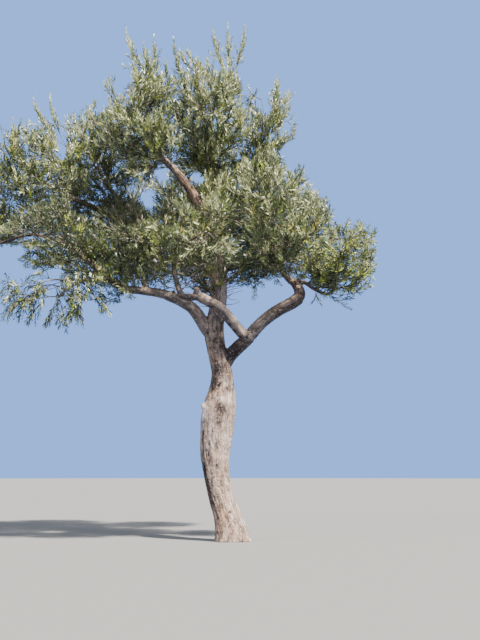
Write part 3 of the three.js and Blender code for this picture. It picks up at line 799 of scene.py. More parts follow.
def first_twigs(index, numbers):
    """The source's twigs of one mass, and the nodes that finer ones may leave from."""
    name = NAMES[index]
    nodes = nodes_along(STEMS[name], STEM_NODES, STEM_ROOM, 0)
    twigs = []
    for target, sprout in twig_targets(index, numbers):
        best = best_node(nodes, target)
        radius = min(TWIG_RADIUS, nodes[3][best])
        path = nodes[2][best]
        lift = MASSES[name]["lift"]
        curve = twig_between(nodes[0][best], target, lift, sprout, radius, radius * TWIG_TIP)
        if not may_grow(index, curve.at(np.array(TWIG_CHECKS)), TWIG_CLEARANCE, sprout).all():
            continue
        if not sprout:
            nodes = joined(nodes, nodes_along(curve, TWIG_NODES, TWIG_ROOM, path))
        twigs.append((curve, sprout))
    return twigs, nodes


def spray_points(root, way, flat, length, slim):
    """The corners of the source's blade, which decide whether a spray has room."""
    side = unit(np.cross(way, flat))
    face = unit(np.cross(side, way))
    widest = root + way * SPRAY_WIDEST * length
    out = [side * SPRAY_WIDTH * slim, face * SPRAY_THICKNESS]
    corners = [widest + s * o * length / 2 for s in (1, -1) for o in out]
    return np.array(corners + [root + way * length * share for share in (0.25, 0.7, 1)])


def sprays_of(index, curve, sprout, numbers):
    """Where the source puts a twig's sprays: root, way and length of each one beside its tip."""
    slim = SPROUT_SLIM if sprout else 1
    size = SPRAY_LENGTH * (SPROUT_SPRAY if sprout else MASSES[NAMES[index]]["spray"])
    last = min(size * vary(numbers, SIZE_SPREAD), curve.length * LAST_SPRAY)
    end = 1 - last / curve.length
    found = []
    for i, share in enumerate(SPROUT_SPRAYS if sprout else TWIG_SPRAYS):
        out = spoke(curve, share * end, math.pi * (2 * i + 1) / 3)
        turn = SPRAY_TURN * slim * vary(numbers, TURN_SPREAD)
        way = curve.way(share * end) * math.cos(turn) + out * math.sin(turn)
        flat = np.array([next(numbers) - 0.5, next(numbers) - 0.5, next(numbers) - 0.5])
        wanted = size * vary(numbers, SIZE_SPREAD)
        for cut in SPRAY_CUTS:
            points = spray_points(curve.at(share * end), way, flat, wanted * cut, slim)
            if may_grow(index, points, SPRAY_CLEARANCE, sprout).all():
                found.append((curve.at(share * end), way, wanted * cut))
                break
    return found


# The finer twigs of the scene

def settings():
    """The sizes and colours that the panel shows."""
    return bpy.context.scene.olive_tree


def random_ways(rng, count):
    """Unit vectors spread evenly over the sphere."""
    return unit(rng.normal(size=(count, 3)))


def perpendiculars(ways):
    """Two unit vectors square to each way and to each other."""
    helper = np.where(np.abs(ways[:, 2:3]) < 0.8, UP, np.array([1.0, 0.0, 0.0]))
    side = unit(np.cross(ways, helper))
    return side, np.cross(ways, side)


def arc_points(arcs, t):
    """(1-t)^2 a + 2t(1-t) b + t^2 c for rows of arcs."""
    a, b, c = arcs
    t = np.asarray(t)[..., None]
    return (1 - t) ** 2 * a + 2 * t * (1 - t) * b + t**2 * c


def arc_ways(arcs, t):
    """The unit tangent 2(1-t)(b - a) + 2t(c - b)."""
    a, b, c = arcs
    t = np.asarray(t)[..., None]
    return unit((1 - t) * (b - a) + t * (c - b))


def take(arcs, rows):
    """The arcs of some rows."""
    return tuple(part[rows] for part in arcs)


def stacked(rows):
    """Arcs one by one as rows of arcs."""
    return tuple(np.array(part) for part in zip(*rows))


def run_on(groups):
    """Several groups of rows, one after the other."""
    return tuple(np.concatenate(part) for part in zip(*groups))


def places_along(lengths, spacing, first, last):
    """For each length, places a spacing apart from the first to the last share: owner row, number and
    share."""
    counts = np.maximum(1, np.round(lengths * (last - first) / spacing)).astype(int)
    owner = np.repeat(np.arange(len(lengths)), counts)
    number = np.arange(len(owner)) - np.repeat(np.cumsum(counts) - counts, counts)
    return owner, number, first + (last - first) * (number + 0.5) / counts[owner]


def branchlets(index, twigs, nodes, numbers, rng):
    """The sprays' own axes, and more of them by the same rule: each leaves the best node towards a place in
    the mass. Rows of arcs for the twigs' and, at half their length, for the sprouts'."""
    m = MASSES[NAMES[index]]
    arcs, short = [], []
    for curve, sprout in twigs:
        for root, way, length in sprays_of(index, curve, sprout, numbers):
            length *= SPROUT_AXIS if sprout else 1
            bend = root + way * length / 2
            rows = short if sprout else arcs
            rows.append((root, bend, root + way * length + UP * SPRAY_RISE * m["lift"] * length))
    for root, bend, tip in arcs:
        curve = arc(root, bend, tip, *BRANCHLET)
        nodes = joined(nodes, nodes_along(curve, SPRAY_NODES, 1, SPRAY_PATH))
    free = may_fill(np.array([row[2] for row in arcs])) if arcs else ()
    arcs = [row for row, kept in zip(arcs, free) if kept]
    count = round(settings().twigs.per_mass * m["share"] * m["leafy"])
    ways = random_ways(rng, count)
    depths = mixed(*BRANCHLET_DEPTHS, rng.random(count) ** BRANCHLET_OUTWARD)
    targets = m["middle"] + ways * m["radii"] * depths[:, None] * REACH
    targets = targets[may_grow(index, targets, TWIG_CLEARANCE, fine=True)]
    order = np.argsort(np.linalg.norm(targets - m["middle"], axis=1))
    for target in targets[order]:
        best = best_node(nodes, target)
        root = nodes[0][best]
        length = np.linalg.norm(target - root)
        if length < BRANCHLET_LEAST:
            continue
        curve = twig_between(root, target, m["lift"], False, *BRANCHLET)
        if may_grow(index, curve.at(np.array(TWIG_CHECKS)), SPRAY_CLEARANCE, fine=True).all():
            arcs.append((root, mixed(root, target, 0.5) - UP * TIP_TURN * m["lift"] * length, target))
            nodes = joined(nodes, nodes_along(curve, TWIG_NODES, 1, nodes[2][best]))
    return stacked(arcs), stacked(short), nodes


def suckers(table, rng, allowed):
    """Leafy twigs straight from the limbs or stems of a table: out, a little along, and then up or down.
    Rows of arcs."""
    rows = []
    for name, first, last, count, length, lean in table:
        share = mixed(first, last, (np.arange(count) + 0.5) / count)
        limb = LIMBS.get(name) or STEMS[name]
        root, way = limb.at(share), limb.way(share)
        side, over = perpendiculars(way)
        angle = (np.arange(count) * GOLDEN_ANGLE + 2 * math.pi * rng.random())[:, None]
        start = unit(side * np.cos(angle) + over * np.sin(angle) + way * SUCKER_ALONG + np.array(lean))
        size = (length * mixed(*SUCKER_SIZES, rng.random(count)))[:, None]
        later = unit(start + UP * mixed(*SUCKER_RISES, rng.random(count))[:, None])
        rows.append((root, root + start * size / 2, root + (start + later) * size / 2))
    arcs = run_on(rows)
    free = np.ones(len(arcs[0]), bool)
    for share in SUCKER_CHECKS:
        free &= allowed(arc_points(arcs, np.full(len(free), share)))
    return take(arcs, free)


def count_near(points, others, reach):
    """How many of the others lie within reach of each point."""
    blocks = [points[low:low + TIP_BLOCK] for low in range(0, len(points), TIP_BLOCK)]
    return np.concatenate([(((b[:, None] - others) ** 2).sum(2) < reach**2).sum(1) for b in blocks])


def thin_places(tips, rng):
    """Places in the masses with few shoots' tips round them, a short way apart."""
    count = settings().twigs.filling
    volume = RADII.prod(1)
    which = rng.choice(len(NAMES), count, p=volume / volume.sum())
    ways = random_ways(rng, count)
    points = MIDDLES[which] + ways * RADII[which] * REACH * rng.random((count, 1)) ** (1 / 3)
    leafy = np.array([MASSES[name]["leafy"] for name in NAMES])[depths_of(points).argmin(1)] >= 1
    points = points[leafy & may_fill(points) & clear_of_limbs("", points, TWIG_CLEARANCE)]
    points = points[count_near(points, tips, THIN_ROUND) < THIN_UNDER]
    kept = np.empty((0, 3))
    for point in points:
        if (np.linalg.norm(kept - point, axis=1) > THIN_APART).all():
            kept = np.vstack([kept, point])
    return kept


def towards(places, nodes):
    """Twigs from the best node to each place, where nothing is in the way. Rows of arcs."""
    roots = np.array([nodes[0][best_node(nodes, place)] for place in places])
    lengths = np.linalg.norm(places - roots, axis=1, keepdims=True)
    arcs = (roots, mixed(roots, places, 0.5) - UP * TIP_TURN * THIN_LIFT * lengths, places)
    free = (lengths[:, 0] > THIN_LENGTHS[0]) & (lengths[:, 0] < THIN_LENGTHS[1])
    for share in TWIG_CHECKS:
        free &= may_fill(arc_points(arcs, np.full(len(places), share)))
    return take(arcs, free)


def shoots_on(arcs, allowed, lift, spacing, first, last, rng, close=False):
    """Leafy shoots on every side of some twigs, where they are allowed, each turning up or down with the
    lift. Close ones lie along their twig and get shorter towards its tip. Rows of arcs."""
    s = settings().twigs
    lengths = np.linalg.norm(arcs[2] - arcs[0], axis=1)
    owner, number, t = places_along(lengths, spacing, first, last)
    ends = np.arange(0 if close else len(lengths))
    owner, number, t = (np.concatenate(p) for p in ((owner, ends), (number, 0 * ends), (t, 0 * ends + 1.0)))
    carrier = take(arcs, owner)
    root, way = arc_points(carrier, t), arc_ways(carrier, t)
    side, over = perpendiculars(way)
    angle = number * GOLDEN_ANGLE + 2 * math.pi * rng.random(len(lengths))[owner]
    angle = (angle + rng.normal(0, SHOOT_SPIN, len(owner)))[:, None]
    out = side * np.cos(angle) + over * np.sin(angle)
    turn = mixed(*SHOOT_TURNS, rng.random(len(owner))) * (SHOOT_CLOSE_TURN if close else 1)
    turn = np.where(t < 1, turn, SHOOT_END_TURN)[:, None]
    start = unit(way * np.cos(turn) + out * np.sin(turn) + UP * lift * s.rise * SHOOT_EARLY_RISE)
    later = unit(start + UP * lift * s.rise * mixed(*SHOOT_RISES, rng.random(len(owner)))[:, None])
    length = s.shoot_length * mixed(*SHOOT_SIZES, rng.random(len(owner)))
    length *= 0.8 - 0.6 * t if close else 1 - 0.25 * t
    kept = []
    for cut in SHOOT_CUTS:
        reach = (length * cut)[:, None]
        tried = (root, root + start * reach / 2, root + (start + later) * reach / 2)
        free = allowed(tried[2]) & allowed(arc_points(tried, np.full(len(root), SHOOT_CHECK)))
        kept.append(take(tried, free))
        root, start, later, length = take((root, start, later, length), ~free)
    return run_on(kept)


def rows_of(curves):
    """Curves made by arc() as rows of arcs: b = 2 m - (a + c) / 2 for the point m half-way."""
    first, middle, last = stacked([c.points[[0, ARC_POINTS // 2, -1]] for c in curves])
    return first, 2 * middle - (first + last) / 2, last


@lru_cache(maxsize=1)
def grown_crown():
    """Every mass grown: first twigs as curves, branchlets, bare twigs and shoots as rows of arcs, the mass
    that each shoot is in, and whether its leaves lie close."""
    s = settings().twigs
    twigs, fine, shoots = [], [], []

    def grow(arcs, index, close, *rule):
        rows = arcs if rule == () else shoots_on(arcs, *rule, close=close)
        near = depths_of(rows[2]).argmin(1) if index is None else np.full(len(rows[0]), index)
        shoots.append((*rows, near, np.full(len(near), close)))

    for index, name in enumerate(NAMES):
        m = MASSES[name]
        numbers, rng = seeded(m["seed"]), np.random.default_rng(m["seed"])
        own, nodes = first_twigs(index, numbers)
        finer, short, nodes = branchlets(index, own, nodes, numbers, rng)
        for tip in np.array(WANDS.get(name, ())):
            root = nodes[0][best_node(nodes, tip)]
            own.append((twig_between(root, tip, m["lift"], True, *WAND), True))
        ends = joined(ends, nodes) if index else nodes
        gap = s.spacing / m["leafy"]
        inside = lambda points: may_grow(index, points, SPRAY_CLEARANCE, fine=True)
        beyond = lambda points: may_grow(index, points, SPRAY_CLEARANCE, sprout=True, fine=True)
        grow(finer, index, False, inside, m["lift"], gap, SHOOTS_FROM, 1, rng)
        spread = [curve for curve, sprout in own if not sprout]
        grow(rows_of(spread), index, False, inside, m["lift"], gap, TWIG_SHOOTS_FROM, 1, rng)
        rising = [curve for curve, sprout in own if sprout]
        if rising:
            root, bend, tip = rows_of(rising)
            rule = (beyond, m["lift"], gap * WAND_SPACING, *WAND_SHOOTS, rng)
            grow((root, bend, tip), index, True, *rule)
            outer = arc_points((root, bend, tip), np.full(len(tip), WAND_LEAVES_FROM))
            end = tip + unit(tip - bend) * s.wand_end
            grow((outer, mixed(bend, tip, WAND_LEAVES_FROM), end), index, True)
            grow(short, index, True)
        twigs += [curve for curve, sprout in own if sprout or may_fill(curve.points[-1:])]
        fine.append(finer)
    rng = np.random.default_rng(176)
    filling = lambda points: may_fill(points) & clear_of_limbs("", points, SPRAY_CLEARANCE)
    within = lambda points: filling(points) & (depths_of(points).min(1) < fine_depth(points))
    evenly = (s.spacing, TWIG_SHOOTS_FROM, 1, rng)
    extra = suckers(SUCKERS, rng, filling)
    grow(extra, None, False, filling, SUCKER_LIFT, *evenly)
    inner = suckers([(name, *STEM_SUCKERS) for name in NAMES], rng, within)
    grow(inner, None, False, within, SUCKER_LIFT, *evenly)
    filler = towards(thin_places(np.concatenate([rows[2] for rows in shoots]), rng), ends)
    grow(filler, None, False, within, THIN_LIFT, *evenly)
    *arcs, near, close = run_on(shoots)
    return {
        "twigs": twigs, "branchlets": run_on([*fine, extra, inner, filler]),
        "bare": suckers(BARE_TWIGS, rng, filling), "shoots": tuple(arcs), "mass": near, "close": close,
    }


# Meshes

def add_mesh(name, vertices, faces, material_indices=None, smooth=False):
    """A new mesh object from arrays of vertices and of faces that all have the same number of corners."""
    mesh = bpy.data.meshes.new(name)
    corners = faces.shape[1]
    mesh.vertices.add(len(vertices))
    mesh.vertices.foreach_set("co", np.ascontiguousarray(vertices, np.float32).ravel())
    mesh.loops.add(faces.size)
    mesh.loops.foreach_set("vertex_index", np.ascontiguousarray(faces, np.int32).ravel())
    mesh.polygons.add(len(faces))
    mesh.polygons.foreach_set("loop_start", np.arange(0, faces.size, corners, dtype=np.int32))
    mesh.polygons.foreach_set("use_smooth", np.full(len(faces), smooth))
    if material_indices is not None:
        mesh.polygons.foreach_set("material_index", material_indices.astype(np.int32))
    mesh.update(calc_edges=True)
    mesh.validate()
    thing = bpy.data.objects.new(name, mesh)
    bpy.context.collection.objects.link(thing)
    return thing


def finished(piece, nodes):
    """The piece rides on the tree and stands for some CAD nodes, which are hidden."""
    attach(piece, "root")
    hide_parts(*nodes)


def tube_faces(stations, sides):
    """The triangles of one closed tube of rings: its walls, then a fan at each end to the two vertices that
    follow the rings."""
    k, a = np.meshgrid(np.arange(stations - 1), np.arange(sides), indexing="ij")
    near, far = k * sides + a, k * sides + (a + 1) % sides
    walls = [np.stack([near, far, far + sides], -1), np.stack([near, far + sides, near + sides], -1)]
    a = np.arange(sides)
    foot, head, last = stations * sides, stations * sides + 1, (stations - 1) * sides
    caps = [np.stack([a * 0 + foot, (a + 1) % sides, a], -1),
            np.stack([a * 0 + head, last + a, last + (a + 1) % sides], -1)]
    return np.concatenate([part.reshape(-1, 3) for part in walls + caps])


def repeated(faces, count, corners):
    """The faces of one thing with so many corners, for each of a count of like things."""
    return (np.array(faces)[None] + corners * np.arange(count)[:, None, None]).reshape(-1, 3)


def tubes(lines, radii, sides):
    """Round tubes along M lines of K points: p + r (cos a u + sin a v), with u, v carried from point to
    point by u' = unit(u - (u.w) w), and both ends closed by a fan to their middles. Vertices and
    triangles."""
    count, stations = lines.shape[:2]
    ways = unit(np.gradient(lines, axis=1))
    side, _ = perpendiculars(ways[:, 0])
    angle = 2 * math.pi * np.arange(sides) / sides
    rings = np.empty((count, stations, sides, 3))
    for k in range(stations):
        side = unit(side - (side * ways[:, k]).sum(1, keepdims=True) * ways[:, k])
        over = np.cross(ways[:, k], side)
        around = side[:, None] * np.cos(angle)[:, None] + over[:, None] * np.sin(angle)[:, None]
        rings[:, k] = lines[:, k, None] + around * radii[:, k, None, None]
    vertices = np.concatenate([rings.reshape(count, -1, 3), lines[:, [0, -1]]], axis=1)
    return vertices.reshape(-1, 3), repeated(tube_faces(stations, sides), count, stations * sides + 2)


def arc_tubes(arcs, radii, sides):
    """Tubes along rows of arcs, with a ring for each radius."""
    t = np.linspace(0, 1, len(radii))
    lines = np.stack([arc_points(arcs, np.full(len(arcs[0]), share)) for share in t], axis=1)
    return tubes(lines, np.tile(radii, (len(lines), 1)), sides)


def sampled(curves, rings):
    """The points and radii at even shares of some curves."""
    shares = np.linspace(0, 1, rings)
    return np.array([c.at(shares) for c in curves]), np.array([c.radius(shares) for c in curves])


def spikes(arcs, radius):
    """Three-sided shoots along rows of arcs: a ring at the root, a thinner one half-way, and a pointed
    tip."""
    side, over = perpendiculars(unit(arcs[2] - arcs[0]))
    angle = 2 * math.pi * np.arange(3)[:, None] / 3
    around = side[:, None] * np.cos(angle) + over[:, None] * np.sin(angle)
    middle = arc_points(arcs, np.full(len(side), 0.5))
    thinner = middle[:, None] + around * radius * SHOOT_THINNER
    rings = np.concatenate([arcs[0][:, None] + around * radius, thinner, arcs[2][:, None]], axis=1)
    one = [(0, 2, 1), (3, 4, 6), (4, 5, 6), (5, 3, 6)]
    one += [face for a, b in ((0, 1), (1, 2), (2, 0)) for face in ((a, b, b + 3), (a, b + 3, a + 3))]
    return rings.reshape(-1, 3), repeated(one, len(side), rings.shape[1])


def merged(parts):
    """Several pairs of vertices and faces in one pair."""
    start = np.cumsum([0] + [len(v) for v, _ in parts[:-1]])
    return np.vstack([v for v, _ in parts]), np.vstack([f + s for (_, f), s in zip(parts, start)])


def noise(points, seed):
    """Smooth noise from 0 to 1: hashed values at whole-number places, blended by 3t^2 - 2t^3 on each
    axis."""
    table = np.random.default_rng(seed).random(4096)
    cell = np.floor(points).astype(np.int64)
    t = points - cell
    t = t * t * (3 - 2 * t)
    total = np.zeros(len(points))
    for corner in product((0, 1), repeat=3):
        x, y, z = (cell + corner).T
        key = (x * 73856093 ^ y * 19349663 ^ z * 83492791) % 4096
        total += table[key] * np.prod(np.where(corner, t, 1 - t), axis=1)
    return total


def layered(points, seed, layers=3):
    """A sum of noise at doubled frequencies and halved heights, from 0 to 1."""
    total = sum(noise(points * 2**k, seed + k) / 2**k for k in range(layers))
    return total / sum(1 / 2**k for k in range(layers))


# Bark

# How far below the cut the trunk's skin starts, the step at which limbs are measured, how far apart their
# grains lie, and the leader's number among them.
TRUNK_BELOW = 0.06
LIMB_STEP = 0.012
GRAIN_APART = 3.1
LEADER = 1

# The groove's half width and depth, and the height from which the leader has lost its outer bark.
GROOVE_HALF = 0.008
GROOVE_DEPTH = 0.018
LOST_FROM = 2.8

# How soft the marks' rims are, the way that the lit side of a bough faces, how dark the painted shade is on
# the trunk's left side, under thin boughs and on the shaded side of every bough, and how pale the painted
# light is on top of thin boughs.
MARK_POWER = 1.4
LIT_WAY = (0.45, 0, 0.9)
SIDE_DARK = 0.95
THIN_UNDER_SHADE = 0.6
BENEATH_DARK = 0.62
THIN_TOP_LIGHT = 0.2

# The line of the groove down the trunk's left side: heights, and x at each.
GROOVE_HEIGHTS = [0.15, 0.42, 0.5, 0.6, 0.84, 0.95, 1.3]
GROOVE_LINE = [-0.13, -0.171, -0.189, -0.217, -0.243, -0.246, -0.22]

# Dark, pale and warm marks on the bark's front: x, z, half width, half height and strength. The dark marks
# are stains and holes, and painted shade where marked; the leader's pale mark is painted sunlight, and the
# warm stripe on the neck is a painted highlight.
DARK = [
    (-0.065, 1.19, 0.062, 0.075, 0.95),
    (-0.1, 1.09, 0.04, 0.065, 0.8),
    # Painted shadow of the crown on the neck: this mark and the next.
    (-0.145, 1.434, 0.055, 0.085, 1.2),
    (-0.1, 1.56, 0.09, 0.075, 0.95),
    (-0.015, 1.382, 0.04, 0.03, 0.9),
    (-0.151, 1.299, 0.015, 0.018, 0.9),
    (-0.075, 1.248, 0.018, 0.016, 0.8),
    (-0.107, 0.675, 0.015, 0.018, 0.9),
    (-0.11, 0.838, 0.02, 0.025, 0.6),
    (-0.206, 1.175, 0.008, 0.018, 0.9),
    (-0.223, 1.088, 0.008, 0.018, 0.9),
    (-0.118, 1.413, 0.012, 0.012, 1),
    # From here to the end, painted shade: under the right bough's foot, the crown's shadow on the upper
    # trunk and neck, and a row just below the crossing bough.
    (0.02, 1.77, 0.08, 0.11, 1.2),
    (-0.12, 1.8, 0.08, 0.16, 0.45),
    (-0.02, 1.5, 0.06, 0.1, 0.6),
    (-0.1, 1.36, 0.05, 0.04, 0.25),
    (-0.1, 1.98, 0.1, 0.1, 0.4),
    (0.1, 1.85, 0.035, 0.03, 0.5),
    (0.045, 1.905, 0.03, 0.03, 0.5),
    (-0.005, 1.96, 0.03, 0.03, 0.48),
    (-0.06, 2.015, 0.03, 0.03, 0.42),
    (-0.115, 2.065, 0.035, 0.03, 0.42),
    (-0.18, 2.11, 0.045, 0.03, 0.5),
]
PALE = [
    (-0.236, 1.156, 0.04, 0.08, 1.2),
    (-0.239, 1.028, 0.022, 0.075, 0.7),
    (-0.084, 1.285, 0.037, 0.028, 0.6),
    (0.008, 1.295, 0.04, 0.066, 0.7),
    (-0.16, 1, 0.05, 0.2, 0.45),
    (-0.028, 0.91, 0.05, 0.187, 0.3),
    (0.028, 0.328, 0.05, 0.14, 0.3),
    (0.146, 0.187, 0.06, 0.04, 0.5),
    (-0.034, 1.424, 0.018, 0.076, 0.3),
    # Painted sunlight on the leader.
    (-0.1, 2.45, 0.12, 0.36, 1.7),
]
WARM = [
    (-0.098, 1.355, 0.045, 0.035, 0.8),
    # Painted highlight: a warm lit stripe on the neck.
    (-0.012, 1.541, 0.033, 0.05, 0.9),
    (-0.062, 0.239, 0.06, 0.17, 0.7),
    (-0.054, 0.487, 0.024, 0.05, 0.5),
    (-0.38, 3.28, 0.2, 0.2, 0.7),
]

# How much painted sunlight lies on the front of a whole limb.
SUNLIT_LIMBS = {"crossing_bough": 0.85, "left_bough": 0.5, "left_spur": 0.4, "leader": 0.2}

# Holes and stains of the bark: x, y, z, half width, how deep, and how dark.
HOLES = [
    (-0.12, -0.15, 0.838, 0.011, 0.012, 0.9),
    (-0.109, -0.13, 0.684, 0.01, 0.01, 0.9),
    (-0.094, -0.11, 1.415, 0.01, 0.01, 0.8),
    (-0.1125, -0.14, 1.323, 0.012, 0.01, 0.7),
    (-0.2, -0.06, 1.918, 0.018, 0.02, 1),
    (-0.178, -0.07, 1.852, 0.014, 0.018, 1),
    (0.165, -0.13, 1.87, 0.014, 0.012, 0.9),
    (-0.03, -0.08, 2.2, 0.016, 0.016, 0.8),
    (-0.035, -0.08, 2.3, 0.014, 0.014, 0.8),
    (0.68, -0.15, 2.28, 0.015, 0.01, 0.8),
]

# Stubs and knots on the limbs: place, way out, radius and length.
KNOBS = [
    ((-0.2, -0.06, 1.21), (-1, -0.45, 0.35), 0.03, 0.06),
    ((0.66, -0.13, 2.24), (0.7, -0.7, 0.1), 0.03, 0.05),
    ((0.65, -0.13, 2.33), (-0.2, -1, 0.3), 0.022, 0.045),
    ((0.61, -0.11, 2.39), (0.9, 0, 0.6), 0.016, 0.075),
    ((-0.3, -0.37, 2.24), (0.1, -0.4, 1), 0.026, 0.05),
    ((-0.19, -0.07, 1.95), (-0.3, -1, 0.1), 0.02, 0.035),
    ((-0.52, -0.17, 2.27), (0, -0.6, 1), 0.018, 0.04),
    ((0.2, -0.075, 1.9), (0.1, -1, 0.2), 0.03, 0.03),
]


def trunk_surface(sides=64, rise=0.012):
    """The trunk as p(a, z) = c(z) + (r(z) + f e^(-z/h) lobes(a)) (cos a, sin a), from below the cut
    upwards."""
    z, x, y, r = np.array(TRUNK, float).T
    heights = np.arange(-TRUNK_BELOW, z[-1] + rise / 2, rise)
    above = np.maximum(heights, 0)
    cx, cy, radius = (smooth_along(z, v, above) for v in (x, y, r))
    a = 2 * math.pi * np.arange(sides) / sides
    lobes = FLARE_EVEN + FLARE_LEAN * np.cos(a - FLARE_LEAN_WAY)
    lobes = lobes + FLARE_LOBE * np.cos(3 * (a - FLARE_LOBE_WAY))
    reach = radius[:, None] + FLARE * np.exp(-above / FLARE_HEIGHT)[:, None] * lobes
    rings = np.stack([cx[:, None] + reach * np.cos(a), cy[:, None] + reach * np.sin(a),
                      heights[:, None] + 0 * a], -1)
    ends = np.column_stack([cx, cy, heights])[[0, -1]]
    return np.vstack([rings.reshape(-1, 3), ends]), tube_faces(len(heights), sides)


def smooth_along(places, values, at):
    """A cubic with finite-difference slopes through values at places: h00 v + h10 m + h01 v' + h11 m'."""
    slopes = np.gradient(values, places)
    i = np.clip(np.searchsorted(places, at, side="right") - 1, 0, len(places) - 2)
    width = places[i + 1] - places[i]
    t = (at - places[i]) / width
    return ((2 * t**3 - 3 * t**2 + 1) * values[i] + (t**3 - 2 * t**2 + t) * width * slopes[i]
            + (3 * t**2 - 2 * t**3) * values[i + 1] + (t**3 - t**2) * width * slopes[i + 1])


def limb_tube(curve, sides=20, gap=0.02):
    """One bough as a tube with a ring about every gap along it."""
    shares = np.linspace(0, 1, max(4, int(curve.length / gap)))
    return tubes(curve.at(shares)[None], curve.radius(shares)[None], sides)


def limb_lines():
    """Close points on every limb: place, way, radius, path along the limb and which limb it is."""
    curves = [TRUNK_LINE, *LIMBS.values()]
    rows = []
    for number, curve in enumerate(curves):
        shares = np.linspace(0, 1, max(4, int(curve.length / LIMB_STEP)))
        rows.append(np.column_stack([curve.at(shares), curve.way(shares), curve.radius(shares),
                                     shares * curve.length, shares * 0 + number]))
    return np.vstack(rows)


def bark_places(vertices):
    """For each vertex the nearest limb point, by way to the limb's skin: the grain (r cos a, r sin a, s)
    that the bark's pattern follows, moved on from limb to limb, the limb's radius there, and which limb it
    is."""
    rows = limb_lines()
    nearest = np.empty(len(vertices), int)
    for low in range(0, len(vertices), BLOCK):
        gap = np.linalg.norm(vertices[low:low + BLOCK, None] - rows[:, :3], axis=2) - rows[:, 6]
        nearest[low:low + BLOCK] = gap.argmin(1)
    row = rows[nearest]
    side, over = perpendiculars(row[:, 3:6])
    out = vertices - row[:, :3]
    across = unit(np.stack([(out * side).sum(1), (out * over).sum(1)], 1)) * row[:, 6:7]
    path = row[:, 7] + (out * row[:, 3:6]).sum(1)
    grain = np.column_stack([across + row[:, 8:9] * GRAIN_APART, path])
    return grain, row[:, 6], row[:, 8].astype(int)


def bark_relief(vertices, grain, radius, limb):
    """How far each vertex moves along its normal, and how dark it lies, from 0 to 1: broad swellings,
    ridges 1 - |2n - 1|^0.8 of a noise n stretched along the grain, finer plates, pits where a noise passes
    0.8, the groove e^(-d^2) down the trunk's left side, and the holes. The leader's upper run has lost its
    outer bark."""
    old = np.clip((radius - 0.03) / 0.09, 0, 1)
    flow = grain * np.array([1, 1, 0.2])
    warp = noise(grain * 9, 5)[:, None] * 0.03
    swell = layered(grain * np.array([7, 7, 1.9]), 11) - 0.5
    ridges = 1 - np.abs(2 * layered((flow + warp) * 42, 21) - 1) ** 0.8
    plates = layered((flow + warp) * 95, 31)
    pits = np.clip(noise(grain * np.array([34, 34, 24]), 41) - 0.8, 0, 1) * 5
    x, y, z = vertices.T
    line = np.interp(z, GROOVE_HEIGHTS, GROOVE_LINE)
    groove = np.exp(-(((x - line) / GROOVE_HALF) ** 2)) * (y < 0) * np.clip((z - 0.25) / 0.2, 0, 1)
    groove *= np.clip((1.02 - z) / 0.05, 0, 1) * np.clip(3 * noise(vertices * 11, 51) - 0.7, 0, 1)
    holes = np.array(HOLES)
    gap = (vertices[:, None] - holes[:, :3]) / holes[:, 3:4] / np.array([1, 1, 1.6])
    near = np.exp(-(gap**2).sum(2))
    dent, stain_and_shade = (near * holes[:, 4]).sum(1), (near * holes[:, 5]).max(1)
    s = settings().bark
    high = s.swelling * (0.35 + old) * swell
    high += s.relief * (0.35 + 0.65 * old) * (ridges + 0.5 * plates - 0.9)
    high -= s.relief * 1.1 * pits * (0.4 + old) + GROOVE_DEPTH * groove + dent
    high -= s.lost * (limb == LEADER) * np.clip((z - LOST_FROM) / 0.2, 0, 1)
    depth = np.clip(1.05 - ridges + 0.7 * (0.5 - plates), 0, 1) * 0.8 + 0.8 * pits + 1.1 * groove + stain_and_shade
    return high, np.clip(depth, 0, 1)


def bark_marks(vertices, normals, radius, limb):
    """How dark, how pale and how warm the bark is: soft ovals e^(-d^2.8) with uneven rims on its front,
    some of them painted shade, sunlight and highlight, the painted shade left of the groove, and painted
    sunlight on the fronts and tops of boughs, with painted shade beneath them and on their shaded side."""
    x, _, z = vertices.T
    front = np.clip(0.4 - 1.6 * normals[:, 1], 0, 1)
    patchy = layered(vertices * np.array([34, 34, 18]), 61)
    uneven = 0.35 + 1.3 * patchy
    marks = []
    for table in (DARK, PALE, WARM):
        across, up, half, tall, strength = np.array(table).T
        gap = ((x[:, None] - across) / half) ** 2 + ((z[:, None] - up) / tall) ** 2
        marks.append(front * uneven * (strength * np.exp(-(gap**MARK_POWER))).max(1))
    line = np.interp(z, GROOVE_HEIGHTS, GROOVE_LINE)
    # Painted shade on the trunk's left side, left of the groove.
    side = np.clip((line + 0.018 - x) / 0.012, 0, 1) * np.clip((1 - 0.3 * patchy - z) / 0.15, 0, 1)
    side *= np.clip((z - 0.04) / 0.12, 0, 1) * np.clip(1.2 - 2.2 * normals[:, 1] - 0.8 * patchy, 0, 1)
    young = np.clip((0.075 - radius) / 0.03, 0, 1)
    lit = normals @ np.array(LIT_WAY)
    # Painted shade under thin boughs and on the side of every bough away from the light.
    beneath = THIN_UNDER_SHADE * young * np.clip(-1.2 * normals[:, 2], 0, 1)
    shaded = np.clip(0.35 - 1.1 * lit - 0.4 * patchy, 0, BENEATH_DARK)
    beneath = np.maximum(beneath, shaded * (limb > LEADER))
    marks[0] = np.maximum(marks[0], SIDE_DARK * side) + beneath
    # Painted sunlight on the fronts of whole limbs and on top of thin boughs.
    pale_share = np.array([SUNLIT_LIMBS.get(name, 0) for name in ("trunk", *BOUGHS)])[limb]
    marks[1] = np.maximum(marks[1], pale_share * front) + THIN_TOP_LIGHT * young * np.clip(normals[:, 2], 0, 1)
    return np.clip(np.column_stack(marks), 0, 1)


